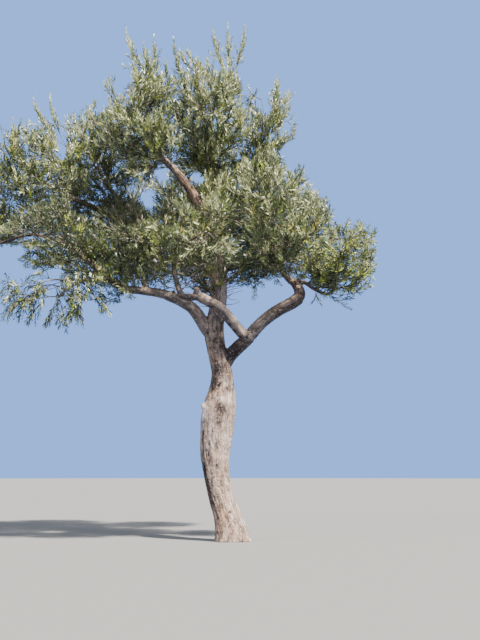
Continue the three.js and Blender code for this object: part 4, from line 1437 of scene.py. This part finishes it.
def bark_mesh(size):
    """The trunk, boughs and knobs joined into one skin by a voxel remesh and eased."""
    parts = [trunk_surface()] + [limb_tube(curve) for curve in LIMBS.values()]
    parts += [knob_surface(*knob) for knob in KNOBS]
    thing = add_mesh("bark", *merged(parts))
    remesh = thing.modifiers.new("Joined", "REMESH")
    remesh.mode = "VOXEL"
    remesh.voxel_size = size
    smooth = thing.modifiers.new("Eased", "SMOOTH")
    smooth.iterations = 3
    smooth.factor = 0.5
    evaluated = thing.evaluated_get(bpy.context.evaluated_depsgraph_get())
    mesh = bpy.data.meshes.new_from_object(evaluated)
    thing.modifiers.clear()
    old = thing.data
    thing.data = mesh
    bpy.data.meshes.remove(old)
    mesh.name = "bark"
    return thing


def knob_surface(place, way, radius, length):
    """A stub or knot: a short tube that tapers and closes over its end."""
    place, way = np.array(place), unit(np.array(way, float))
    shares = np.array([0, 0.4, 0.75, 0.93, 1])
    swell = np.array([1.15, 1.05, 1.0, 0.75, 0.35])
    line = place + way * (shares * length)[:, None]
    return tubes(line[None], (radius * swell)[None], 16)


def cut_at_ground(thing):
    """Cuts the mesh off flat at the ground and closes the cut."""
    shape = bmesh.new()
    shape.from_mesh(thing.data)
    everything = shape.verts[:] + shape.edges[:] + shape.faces[:]
    cut = bmesh.ops.bisect_plane(
        shape, geom=everything, plane_co=(0, 0, 0), plane_no=(0, 0, 1), clear_inner=True,
    )
    rim = [e for e in cut["geom_cut"] if isinstance(e, bmesh.types.BMEdge)]
    bmesh.ops.edgeloop_fill(shape, edges=rim)
    bmesh.ops.recalc_face_normals(shape, faces=shape.faces)
    shape.to_mesh(thing.data)
    shape.free()


# Materials

class Nodes:
    """Adds nodes to a material and links them by name."""

    def __init__(self, name):
        self.material = bpy.data.materials.new(name)
        self.material.use_nodes = True
        self.tree = self.material.node_tree
        self.shader = self.tree.nodes["Principled BSDF"]

    def add(self, kind, links=None, **values):
        """A node of a kind, with its properties set and its inputs linked or set."""
        node = self.tree.nodes.new("ShaderNode" + kind)
        for key, value in values.items():
            setattr(node, key, value)
        for key, source in (links or {}).items():
            self.put(node.inputs[key], source)
        return node

    def put(self, socket, source):
        """Links a socket, or sets it to a value."""
        if isinstance(source, bpy.types.NodeSocket):
            self.tree.links.new(source, socket)
        else:
            socket.default_value = source

    def blend(self, share, first, second, mode="MIX"):
        """A colour mix of two colours or sockets."""
        node = self.add("Mix", data_type="RGBA", blend_type=mode)
        self.put(node.inputs["Factor"], share)
        self.put(node.inputs["A"], first)
        self.put(node.inputs["B"], second)
        return node.outputs["Result"]

    def ramp(self, source, low, high):
        """A value spread from 0 at low to 1 at high."""
        node = self.add("MapRange", {"Value": source, "From Min": low, "From Max": high})
        return node.outputs["Result"]

    def times(self, first, *factors):
        """A product of values or sockets."""
        for factor in factors:
            first = self.add("Math", {0: first, 1: factor}, operation="MULTIPLY").outputs[0]
        return first

    def plus(self, first, second):
        """A sum of two values or sockets."""
        return self.add("Math", {0: first, 1: second}, operation="ADD").outputs[0]

    def named(self, name, output="Fac"):
        """An attribute of the mesh."""
        return self.add("Attribute", attribute_name=name).outputs[output]

    def texture(self, coordinates, scale, detail, stretch=(1, 1, 1)):
        """Noise on coordinates that are stretched first."""
        mapping = self.add("Mapping", {"Vector": coordinates, "Scale": stretch})
        node = self.add("TexNoise", {"Vector": mapping.outputs["Vector"], "Scale": scale, "Detail": detail})
        return node.outputs["Fac"]

    def skin(self, colour, roughness, specular=0.5, bump=None):
        """The material with its shader's colour, roughness and specular level, and with a bump where its
        height, strength and distance are given."""
        self.put(self.shader.inputs["Base Color"], colour)
        self.shader.inputs["Roughness"].default_value = roughness
        self.shader.inputs["Specular IOR Level"].default_value = specular
        if bump:
            node = self.add("Bump", dict(zip(("Height", "Strength", "Distance"), bump)))
            self.put(self.shader.inputs["Normal"], node.outputs["Normal"])
        return self.material


def rgba(colour):
    """A colour with full alpha."""
    return (*colour, 1.0)


def bark_material():
    """Bark: pale ridges and dark fissures from the relief, streaked along the grain and cracked here and
    there, warmer and browner on young boughs, with blotches, the dark, pale and warm marks, which hold real
    stains and patches beside painted shade, painted sunlight and a painted highlight, lichen and dark pits."""
    s = settings().bark
    n = Nodes("olive_bark")
    grain, depth, age = n.named("grain", "Vector"), n.named("depth"), n.named("age")
    dark, pale, warm = n.add("SeparateXYZ", {"Vector": n.named("marks", "Vector")}).outputs
    place = n.add("TexCoord").outputs["Object"]
    height = n.add("SeparateXYZ", {"Vector": place}).outputs["Z"]
    calm = n.times(n.ramp(height, 0.4, 0.75), n.ramp(height, 1.4, 1.25))
    uneven = n.add("MapRange", {"Value": calm, "To Min": 0.65, "To Max": 0.4}).outputs["Result"]
    # Streaks and blotches fade where the pale marks, painted sunlight among them, are strong.
    uneven = n.times(uneven, n.ramp(pale, 1.8, 0.0))
    wander = n.add("TexNoise", {"Vector": grain, "Scale": 30.0, "Detail": 2.0}).outputs["Color"]
    wander = n.add("VectorMath", {0: wander, "Scale": 0.03}, operation="SCALE").outputs[0]
    bent = n.add("VectorMath", {0: grain, 1: wander}, operation="ADD").outputs[0]
    bent = n.add("Mapping", {"Vector": bent, "Scale": (1, 1, 0.3)}).outputs["Vector"]
    crack = n.add("TexVoronoi", {"Vector": bent, "Scale": 55.0}, feature="DISTANCE_TO_EDGE")
    cracked = n.ramp(n.texture(grain, 16, 3), 0.42, 0.56)
    crack = n.times(n.ramp(crack.outputs["Distance"], 0.14, 0.0), cracked)
    mottle = n.ramp(n.texture(place, 9, 5), 0.35, 0.68)
    patches = n.ramp(n.texture(place, 2.3, 3), 0.4, 0.62)
    blotches = n.ramp(n.texture(grain, 24, 4, (1, 1, 0.5)), 0.5, 0.64)
    pale_share = n.ramp(n.texture(grain, 17, 4, (1, 1, 0.5)), 0.48, 0.34)
    streaks = n.ramp(n.texture(grain, 48, 4, (1, 1, 0.17)), 0.44, 0.62)
    speckle = n.ramp(n.texture(place, 130, 3), 0.36, 0.64)
    flecks = n.ramp(n.texture(place, 60, 4), 0.56, 0.66)
    old = n.blend(mottle, rgba(s.ridge), rgba(s.ridge_warm))
    young = n.blend(patches, rgba(s.young), rgba(s.young_warm))
    colour = n.blend(age, young, old)
    colour = n.blend(n.times(pale_share, 0.55), colour, rgba(s.lichen))
    # Pale marks: pale patches, and painted sunlight in the colour of sunlit boughs.
    colour = n.blend(pale, colour, n.blend(age, rgba(s.painted_sunlight), rgba(s.pale_and_sunlit)))
    # Warm marks, one of them a painted highlight.
    colour = n.blend(n.times(warm, n.ramp(streaks, -0.6, 0.8)), colour, rgba(s.warm))
    colour = n.blend(n.times(blotches, uneven), colour, rgba(s.stain_and_shade))
    colour = n.blend(n.times(streaks, uneven), colour, rgba(s.stain_and_shade))
    # Dark marks: stains and holes, and painted shade from the crown and the boughs.
    colour = n.blend(n.times(dark, 0.95), colour, rgba(s.stain_and_shade))
    colour = n.blend(n.times(crack, 0.35), colour, rgba(s.fissure))
    colour = n.blend(n.ramp(depth, 0.3, 0.9), colour, rgba(s.fissure))
    colour = n.blend(n.times(flecks, 0.4), colour, rgba(s.lichen))
    speckles = n.blend(speckle, rgba((0.12, 0.1, 0.1)), rgba((1, 1, 1)))
    colour = n.blend(0.2, colour, speckles, "MULTIPLY")
    fine = n.texture(grain, 150, 5, (1, 1, 0.3))
    relief = n.plus(fine, n.plus(n.times(streaks, -0.8), n.times(crack, -0.7)))
    return n.skin(colour, 0.9, 0.25, (relief, 0.8, 0.006))


def twig_material(name, dark, pale):
    """Twigs: grey-brown skin, mottled, paler in places."""
    n = Nodes(name)
    place = n.add("TexCoord").outputs["Object"]
    mottle = n.ramp(n.texture(place, 14, 3), 0.35, 0.65)
    fine = n.texture(place, 160, 3)
    return n.skin(n.blend(mottle, rgba(dark), rgba(pale)), 0.85, bump=(fine, 0.4, 0.002))


def leaf_material(name, colour, roughness, sheen):
    """One side of the leaves of one tint: its base colour, lighter and darker from leaf to leaf."""
    n = Nodes(name)
    place = n.add("TexCoord").outputs["Object"]
    uneven = n.ramp(n.texture(place, 38, 2), 0.3, 0.7)
    darker, lighter = (tuple(min(c * k, 1) for c in colour) for k in LEAF_UNEVEN)
    return n.skin(n.blend(uneven, rgba(darker), rgba(lighter)), roughness, sheen)


# Settings

def length_property(name, description, default, **more):
    """A length in metres."""
    more |= {"min": 0.0, "unit": "LENGTH"}
    return FloatProperty(name=name, description=description, default=default, **more)


def number_property(name, description, default, kind=FloatProperty, **more):
    """A plain number."""
    return kind(name=name, description=description, default=default, min=0, **more)


def colour_property(name, description, default):
    """A base colour."""
    return FloatVectorProperty(name=name, description=description, default=default, size=3, min=0, max=2,
                               subtype="COLOR")


class OliveTreeBark(bpy.types.PropertyGroup):
    mesh_size: length_property("Mesh size", "Size of the bark mesh's faces", 0.0088, precision=4)
    relief: length_property("Relief", "Height of the bark's ridges", 0.0095, precision=4)
    lost: length_property("Lost bark", "How far the leader's upper run is peeled", 0.009, precision=4)
    swelling: length_property("Swelling", "Height of the broad swellings of the trunk", 0.03, precision=3)
    ridge: colour_property("Old ridges", "Weathered ridges of the trunk", (0.47, 0.35, 0.272))
    ridge_warm: colour_property("Warm ridges", "Pinkish places on the trunk", (0.49, 0.318, 0.23))
    young: colour_property("Young bark", "Bark of the boughs", (0.38, 0.305, 0.25))
    young_warm: colour_property("Warm young bark", "Orange-brown places on the boughs", (0.45, 0.29, 0.195))
    warm: colour_property("Warm marks", "Orange-brown places of the trunk", (0.42, 0.2, 0.1))
    # Pale patches of the trunk, and the painted sunlight of its pale marks.
    pale_and_sunlit: colour_property("Pale marks", "Bleached places", (0.8, 0.66, 0.61))
    # The colour of painted sunlight on the boughs.
    painted_sunlight: colour_property("Sunned boughs", "Bleached places of the boughs", (0.95, 0.7, 0.52))
    # Stains, streaks and blotches, and the painted shade of the dark marks.
    stain_and_shade: colour_property("Dark marks", "Stains, streaks and blotches", (0.036, 0.027, 0.025))
    fissure: colour_property("Fissures", "The dark of fissures and pits", (0.022, 0.014, 0.011))
    lichen: colour_property("Lichen", "Pale lichen spots", (0.7, 0.59, 0.51))


class OliveTreeTwigs(bpy.types.PropertyGroup):
    per_mass: number_property("Branchlets", "Further branchlets tried in a mass", 92, IntProperty)
    spacing: length_property("Shoot spacing", "Way between leafy shoots on a twig", 0.036, precision=3)
    shoot_length: length_property("Shoot length", "Length of a leafy shoot", 0.175, precision=3)
    wand_end: length_property("Wand end", "How far wands' leaves go on past their tips", 0.05, precision=3)
    filling: number_property("Filling", "Places tried for twigs in thin parts", 6000, IntProperty)
    rise: number_property("Rise", "How strongly shoots turn up", 1.0)
    colour: colour_property("Twig", "Skin of the twigs", (0.1, 0.078, 0.056))
    pale: colour_property("Pale twig", "Pale places on the twigs", (0.2, 0.165, 0.125))
    bare: colour_property("Bare twig", "Skin of the bare twigs by the leader", (0.42, 0.26, 0.18))
    pale_bare: colour_property("Pale bare twig", "Pale places on the bare twigs", (0.82, 0.62, 0.5))
    stem: colour_property("Stem", "Skin of the thick stems", (0.1, 0.075, 0.058))
    pale_stem: colour_property("Pale stem", "Pale places on the stems", (0.22, 0.17, 0.13))


class OliveTreeLeaves(bpy.types.PropertyGroup):
    length: length_property("Leaf length", "Length of a full-grown leaf", 0.057, precision=3)
    width: number_property("Leaf width", "Width of a leaf as a share of its length", 0.19, max=1,
                           subtype="FACTOR")
    gap: length_property("Leaf spacing", "Way between two pairs of leaves", 0.0163, precision=4)
    # Dark leaves, dealt out most in the shade and the hollows as painted shade.
    deep: colour_property("Deep leaves", "Old leaves, above", (0.03, 0.048, 0.014))
    olive: colour_property("Olive leaves", "Full-grown leaves, above", (0.115, 0.155, 0.028))
    # Grey leaves, dealt out most in the light and high up, partly as painted light.
    grey: colour_property("Grey leaves", "Weathered leaves, above", (0.37, 0.39, 0.18))
    fresh: colour_property("Fresh leaves", "Young leaves, above", (0.27, 0.31, 0.035))
    yellow: colour_property("Yellow leaves", "Leaves about to drop", (0.5, 0.36, 0.03))
    underside: colour_property("Undersides", "The silvery underside of every leaf", (0.37, 0.4, 0.21))


class OliveTreeStage(bpy.types.PropertyGroup):
    floor: colour_property("Floor", "The plain floor", (0.19, 0.187, 0.18))
    sky: colour_property("Backdrop", "The plain backdrop", (0.33, 0.63, 1.4))
    air: colour_property("Fill colour", "Colour of the fill light", (0.66, 0.8, 1.1))
    fill: number_property("Fill", "Strength of the fill light", 0.6)
    sun: number_property("Key", "Strength of the key light", 17.0)


class OliveTreeSettings(bpy.types.PropertyGroup):
    bark: PointerProperty(type=OliveTreeBark)
    twigs: PointerProperty(type=OliveTreeTwigs)
    leaves: PointerProperty(type=OliveTreeLeaves)
    stage: PointerProperty(type=OliveTreeStage)


# Operators

class OLIVETREE_OT_bark(bpy.types.Operator):
    """Replace the trunk and boughs by one skin of bark with its relief"""

    bl_idname = "olive_tree.bark"
    bl_label = "Bark"

    def execute(self, context):
        thing = bark_mesh(settings().bark.mesh_size)
        mesh = thing.data
        vertices = np.empty(len(mesh.vertices) * 3, np.float32)
        normals = np.empty(len(mesh.vertices) * 3, np.float32)
        mesh.vertices.foreach_get("co", vertices)
        mesh.vertex_normals.foreach_get("vector", normals)
        vertices, normals = vertices.reshape(-1, 3).astype(float), normals.reshape(-1, 3)
        grain, radius, limb = bark_places(vertices)
        high, depth = bark_relief(vertices, grain, radius, limb)
        mesh.vertices.foreach_set("co", (vertices + normals * high[:, None]).astype(np.float32).ravel())
        marks = bark_marks(vertices, normals, radius, limb)
        for name, values in (("grain", grain), ("marks", marks)):
            layer = mesh.attributes.new(name, "FLOAT_VECTOR", "POINT")
            layer.data.foreach_set("vector", values.astype(np.float32).ravel())
        for name, values in (("depth", depth), ("age", np.clip((radius - 0.05) / 0.05, 0, 1))):
            layer = mesh.attributes.new(name, "FLOAT", "POINT")
            layer.data.foreach_set("value", values.astype(np.float32))
        cut_at_ground(thing)
        mesh.polygons.foreach_set("use_smooth", np.ones(len(mesh.polygons), bool))
        mesh.materials.append(bark_material())
        finished(thing, ["trunk", *BOUGHS])
        return {"FINISHED"}


class OLIVETREE_OT_twigs(bpy.types.Operator):
    """Grow the stems, twigs, branchlets and shoots of every mass of foliage"""

    bl_idname = "olive_tree.twigs"
    bl_label = "Twigs"

    def execute(self, context):
        crown = grown_crown()
        stems, radii = sampled(STEMS.values(), STEM_RINGS)
        stems[:, 0] -= STEM_SUNK * unit(stems[:, 1] - stems[:, 0])
        parts = [
            tubes(stems, radii, STEM_SIDES), tubes(*sampled(crown["twigs"], TWIG_RINGS), TWIG_SIDES),
            arc_tubes(crown["branchlets"], BRANCHLET_RADII, FINE_SIDES),
            arc_tubes(crown["bare"], BARE_RADII, FINE_SIDES),
        ]
        skin_of = np.repeat([1, 0, 0, 2], [len(faces) for _, faces in parts])
        s = settings().twigs
        skins = [
            twig_material("olive_twig", s.colour, s.pale), twig_material("olive_stem", s.stem, s.pale_stem),
            twig_material("olive_bare_twig", s.bare, s.pale_bare),
        ]
        for name, shapes, skin_rows, used in (
            ("twigs", parts, skin_of, skins),
            ("shoots", [spikes(crown["shoots"], SHOOT_RADIUS)], None, skins[:1]),
        ):
            thing = add_mesh(name, *merged(shapes), skin_rows, smooth=True)
            for skin in used:
                thing.data.materials.append(skin)
            finished(thing, NAMES)
        return {"FINISHED"}


def leaf_blades(root, way, face, length, width):
    """Leaves as closed keeled blades: an outline of five points, q + L u w + W v s, with its three side
    points raised by W / 12 over the line from stalk to tip, three triangles above and three below.
    Vertices, faces, and 0 or 1 for a face above or below."""
    across = np.cross(face, way)
    u, v, h = np.array(LEAF_OUTLINE).T
    vertices = (root[:, None] + way[:, None] * (u * length[:, None])[..., None]
                + across[:, None] * (v * width[:, None])[..., None]
                + face[:, None] * (h * width[:, None] / LEAF_KEEL)[..., None])
    above = [(0, 4, 1), (4, 2, 1), (4, 3, 2)]
    below = [(0, 3, 4), (0, 1, 2), (0, 2, 3)]
    sides = np.tile([0] * len(above) + [1] * len(below), len(root))
    return vertices.reshape(-1, 3), repeated(above + below, len(root), len(u)), sides


def leaves_on(arcs, close, lift, rng):
    """Pairs of leaves on shoots, each pair turned a quarter from the last and held up or down with the
    lift: rows of root, way, face, length and the shoot that each is on."""
    s = settings().leaves
    lengths = np.linalg.norm(arcs[2] - arcs[0], axis=1)
    owner, number, t = places_along(lengths, s.gap, LEAVES_FROM, 1.0)
    shoot = take(arcs, owner)
    root, axis = arc_points(shoot, t), arc_ways(shoot, t)
    side, over = perpendiculars(axis)
    angle = number * math.pi / 2 + 2 * math.pi * rng.random(len(lengths))[owner]
    angle = angle + rng.normal(0, LEAF_SPIN, len(owner))
    rows = []
    for half in (0, math.pi):
        a = (angle + half)[:, None]
        out = side * np.cos(a) + over * np.sin(a)
        turn = mixed(*LEAF_TURNS, rng.random(len(owner))) * (1.1 - 0.45 * t)
        turn = (turn * np.where(close[owner], LEAF_CLOSE_TURN, 1))[:, None]
        way = axis * np.cos(turn) + out * np.sin(turn) + UP * LEAF_LIFT * lift[owner, None]
        way = unit(way + rng.normal(0, LEAF_SWAY, (len(owner), 3)))
        twist = LEAF_TWIST * rng.normal(size=(len(owner), 3))
        face = unit(axis - (axis * way).sum(1, keepdims=True) * way + twist)
        face = unit(face - (face * way).sum(1, keepdims=True) * way)
        size = s.length * mixed(*LEAF_SIZES, rng.random(len(owner))) * (1 - 0.35 * t**3)
        rows.append((root, way, face, size, owner))
    return [np.concatenate(part) for part in zip(*rows)]


def shade_at(points, tips):
    """How deep in the shade points lie, 1 - e^(-n / N), for the n shoots in the cells of a grid that the
    way from each point to the key light passes."""
    low = tips.min(0) - SHADE_CELL
    cells = np.floor((tips - low) / SHADE_CELL).astype(int)
    grid = np.zeros(cells.max(0) + 2)
    np.add.at(grid, tuple(cells.T), 1)
    tilt, turn = math.radians(KEY_TURN[0]), math.radians(KEY_TURN[2])
    way = np.array([math.sin(tilt) * math.sin(turn), -math.sin(tilt) * math.cos(turn), math.cos(tilt)])
    passed = np.zeros(len(points))
    for step in range(1, SHADE_STEPS + 1):
        at = np.floor((points + way * SHADE_CELL * step - low) / SHADE_CELL).astype(int)
        inside = ((at >= 0) & (at < grid.shape)).all(1)
        passed[inside] += grid[tuple(at[inside].T)]
    return 1 - np.exp(-passed / SHADE_SHOOTS)


def tint_weights(tips, fresh, close):
    """The chance of each tint for each shoot: dark leaves in the shade and the hollows, as painted shade,
    grey ones in the light, as painted light, and high up, fresh ones in the fresher masses and fewer in the
    shade, and grey above all on the close-leaved wands."""
    hollow = in_opening(tips - UP * HOLLOW_DROP, HOLLOW_WIDTH, 0, in_depth(HOLLOWS))
    shade = np.maximum(shade_at(tips, tips), hollow)
    high = np.clip((tips[:, 2] - PALER_FROM) / PALER_OVER, 0, 1)
    weights = np.column_stack([
        0.3 - 0.12 * high + 1.1 * shade**2, 0.28 + 0 * shade, (0.12 + 0.47 * high) * (1 - 0.85 * shade),
        (0.08 + 0.5 * fresh) * (1 - 0.7 * shade), 0.003 + 0 * shade,
    ])
    weights[close] *= CLOSE_TINTS
    return weights / weights.sum(1, keepdims=True)


class OLIVETREE_OT_leaves(bpy.types.Operator):
    """Put pairs of leaves on every shoot, in pieces of one tint each"""

    bl_idname = "olive_tree.leaves"
    bl_label = "Leaves"

    def execute(self, context):
        crown = grown_crown()
        s = settings().leaves
        rng = np.random.default_rng(7)
        lift, fresh = (np.array([MASSES[name][key] for name in NAMES])[crown["mass"]]
                       for key in ("lift", "fresh"))
        root, way, face, size, owner = leaves_on(crown["shoots"], crown["close"], lift, rng)
        weights = tint_weights(crown["shoots"][2], fresh, crown["close"])
        tint = (rng.random(len(weights))[:, None] > np.cumsum(weights, 1)).sum(1)
        for number, (name, pale) in enumerate(TINTS.items()):
            chosen = np.flatnonzero(tint[owner] == number)
            pieces = max(1, math.ceil(len(chosen) / LEAVES_IN_PIECE))
            for part, rows in enumerate(np.array_split(chosen, pieces)):
                blades = leaf_blades(root[rows], way[rows], face[rows], size[rows], size[rows] * s.width)
                label = f"leaves_{name}_{part + 1}"
                thing = add_mesh(label, *blades)
                thing.data.materials.append(leaf_material(f"{label}_above", getattr(s, name), 0.35, 0.6))
                below = [c * pale for c in s.underside]
                thing.data.materials.append(leaf_material(f"{label}_below", below, 0.75, 0.3))
                finished(thing, NAMES)
        return {"FINISHED"}


class OLIVETREE_OT_stage(bpy.types.Operator):
    """Set the floor, the backdrop, the lights and the camera"""

    bl_idname = "olive_tree.stage"
    bl_label = "Stage"

    def execute(self, context):
        s = settings().stage
        scene = context.scene
        rim = np.arange(FLOOR_SIDES)
        angle = 2 * math.pi * rim / FLOOR_SIDES
        ring = FLOOR_RADIUS * np.column_stack([np.cos(angle), np.sin(angle), 0 * angle])
        disc = np.vstack([0 * UP, ring])
        fans = np.stack([rim * 0, 1 + rim, 1 + (rim + 1) % FLOOR_SIDES], -1)
        floor = add_mesh("floor", disc - UP * FLOOR_DROP, fans)
        floor.data.materials.append(Nodes("plain_floor").skin(rgba(s.floor), 0.95))
        floor.visible_diffuse = False
        world = bpy.data.worlds.new("backdrop")
        world.use_nodes = True
        tree = world.node_tree
        fill, mix = tree.nodes["Background"], tree.nodes.new("ShaderNodeMixShader")
        fill.inputs["Color"].default_value = rgba(s.air)
        fill.inputs["Strength"].default_value = s.fill
        behind = tree.nodes.new("ShaderNodeBackground")
        behind.inputs["Color"].default_value = rgba(s.sky)
        seen = tree.nodes.new("ShaderNodeLightPath").outputs["Is Camera Ray"]
        for source, socket in ((seen, mix.inputs[0]), (fill.outputs[0], mix.inputs[1]),
                               (behind.outputs[0], mix.inputs[2]),
                               (mix.outputs[0], tree.nodes["World Output"].inputs["Surface"])):
            tree.links.new(source, socket)
        scene.world = world
        for name, energy, size, turn in (
            ("key", s.sun, KEY_SIZE, KEY_TURN), ("side", s.sun * SIDE_SHARE, SIDE_SIZE, SIDE_TURN),
        ):
            lamp = bpy.data.lights.new(name, "SUN")
            lamp.energy = energy
            lamp.angle = math.radians(size)
            lamp.color = LAMP_COLOUR
            light = bpy.data.objects.new(name, lamp)
            light.rotation_euler = [math.radians(a) for a in turn]
            context.collection.objects.link(light)
        camera = bpy.data.cameras.new("camera")
        camera.sensor_fit = "AUTO"
        camera.sensor_width = SENSOR
        camera.lens = FOCAL_LENGTH / FRAME_HEIGHT * SENSOR
        camera.clip_end = CAMERA_END
        viewer = bpy.data.objects.new("camera", camera)
        viewer.location = CAMERA_PLACE
        viewer.rotation_euler = (math.radians(90 + CAMERA_RISE), 0, 0)
        context.collection.objects.link(viewer)
        scene.camera = viewer
        return {"FINISHED"}


class OLIVETREE_PT_panel(bpy.types.Panel):
    """The tree's pieces and their settings"""

    bl_label = "Olive tree"
    bl_idname = "OLIVETREE_PT_panel"
    bl_space_type = "VIEW_3D"
    bl_region_type = "UI"
    bl_category = "Olive tree"

    def draw(self, context):
        s = settings()
        for part, operator in (
            (s.bark, OLIVETREE_OT_bark), (s.twigs, OLIVETREE_OT_twigs),
            (s.leaves, OLIVETREE_OT_leaves), (s.stage, OLIVETREE_OT_stage),
        ):
            box = self.layout.box()
            box.label(text=operator.bl_label)
            for key in part.__annotations__:
                box.prop(part, key)
            box.operator(operator.bl_idname)


CLASSES = (
    OliveTreeBark, OliveTreeTwigs, OliveTreeLeaves, OliveTreeStage, OliveTreeSettings,
    OLIVETREE_OT_bark, OLIVETREE_OT_twigs, OLIVETREE_OT_leaves, OLIVETREE_OT_stage, OLIVETREE_PT_panel,
)


def register():
    for part in CLASSES:
        bpy.utils.register_class(part)
    bpy.types.Scene.olive_tree = PointerProperty(type=OliveTreeSettings)


def unregister():
    del bpy.types.Scene.olive_tree
    for part in reversed(CLASSES):
        bpy.utils.unregister_class(part)


def main():
    register()
    bpy.ops.olive_tree.stage()
    bpy.ops.olive_tree.bark()
    bpy.ops.olive_tree.twigs()
    bpy.ops.olive_tree.leaves()


if __name__ == "__main__":
    main()
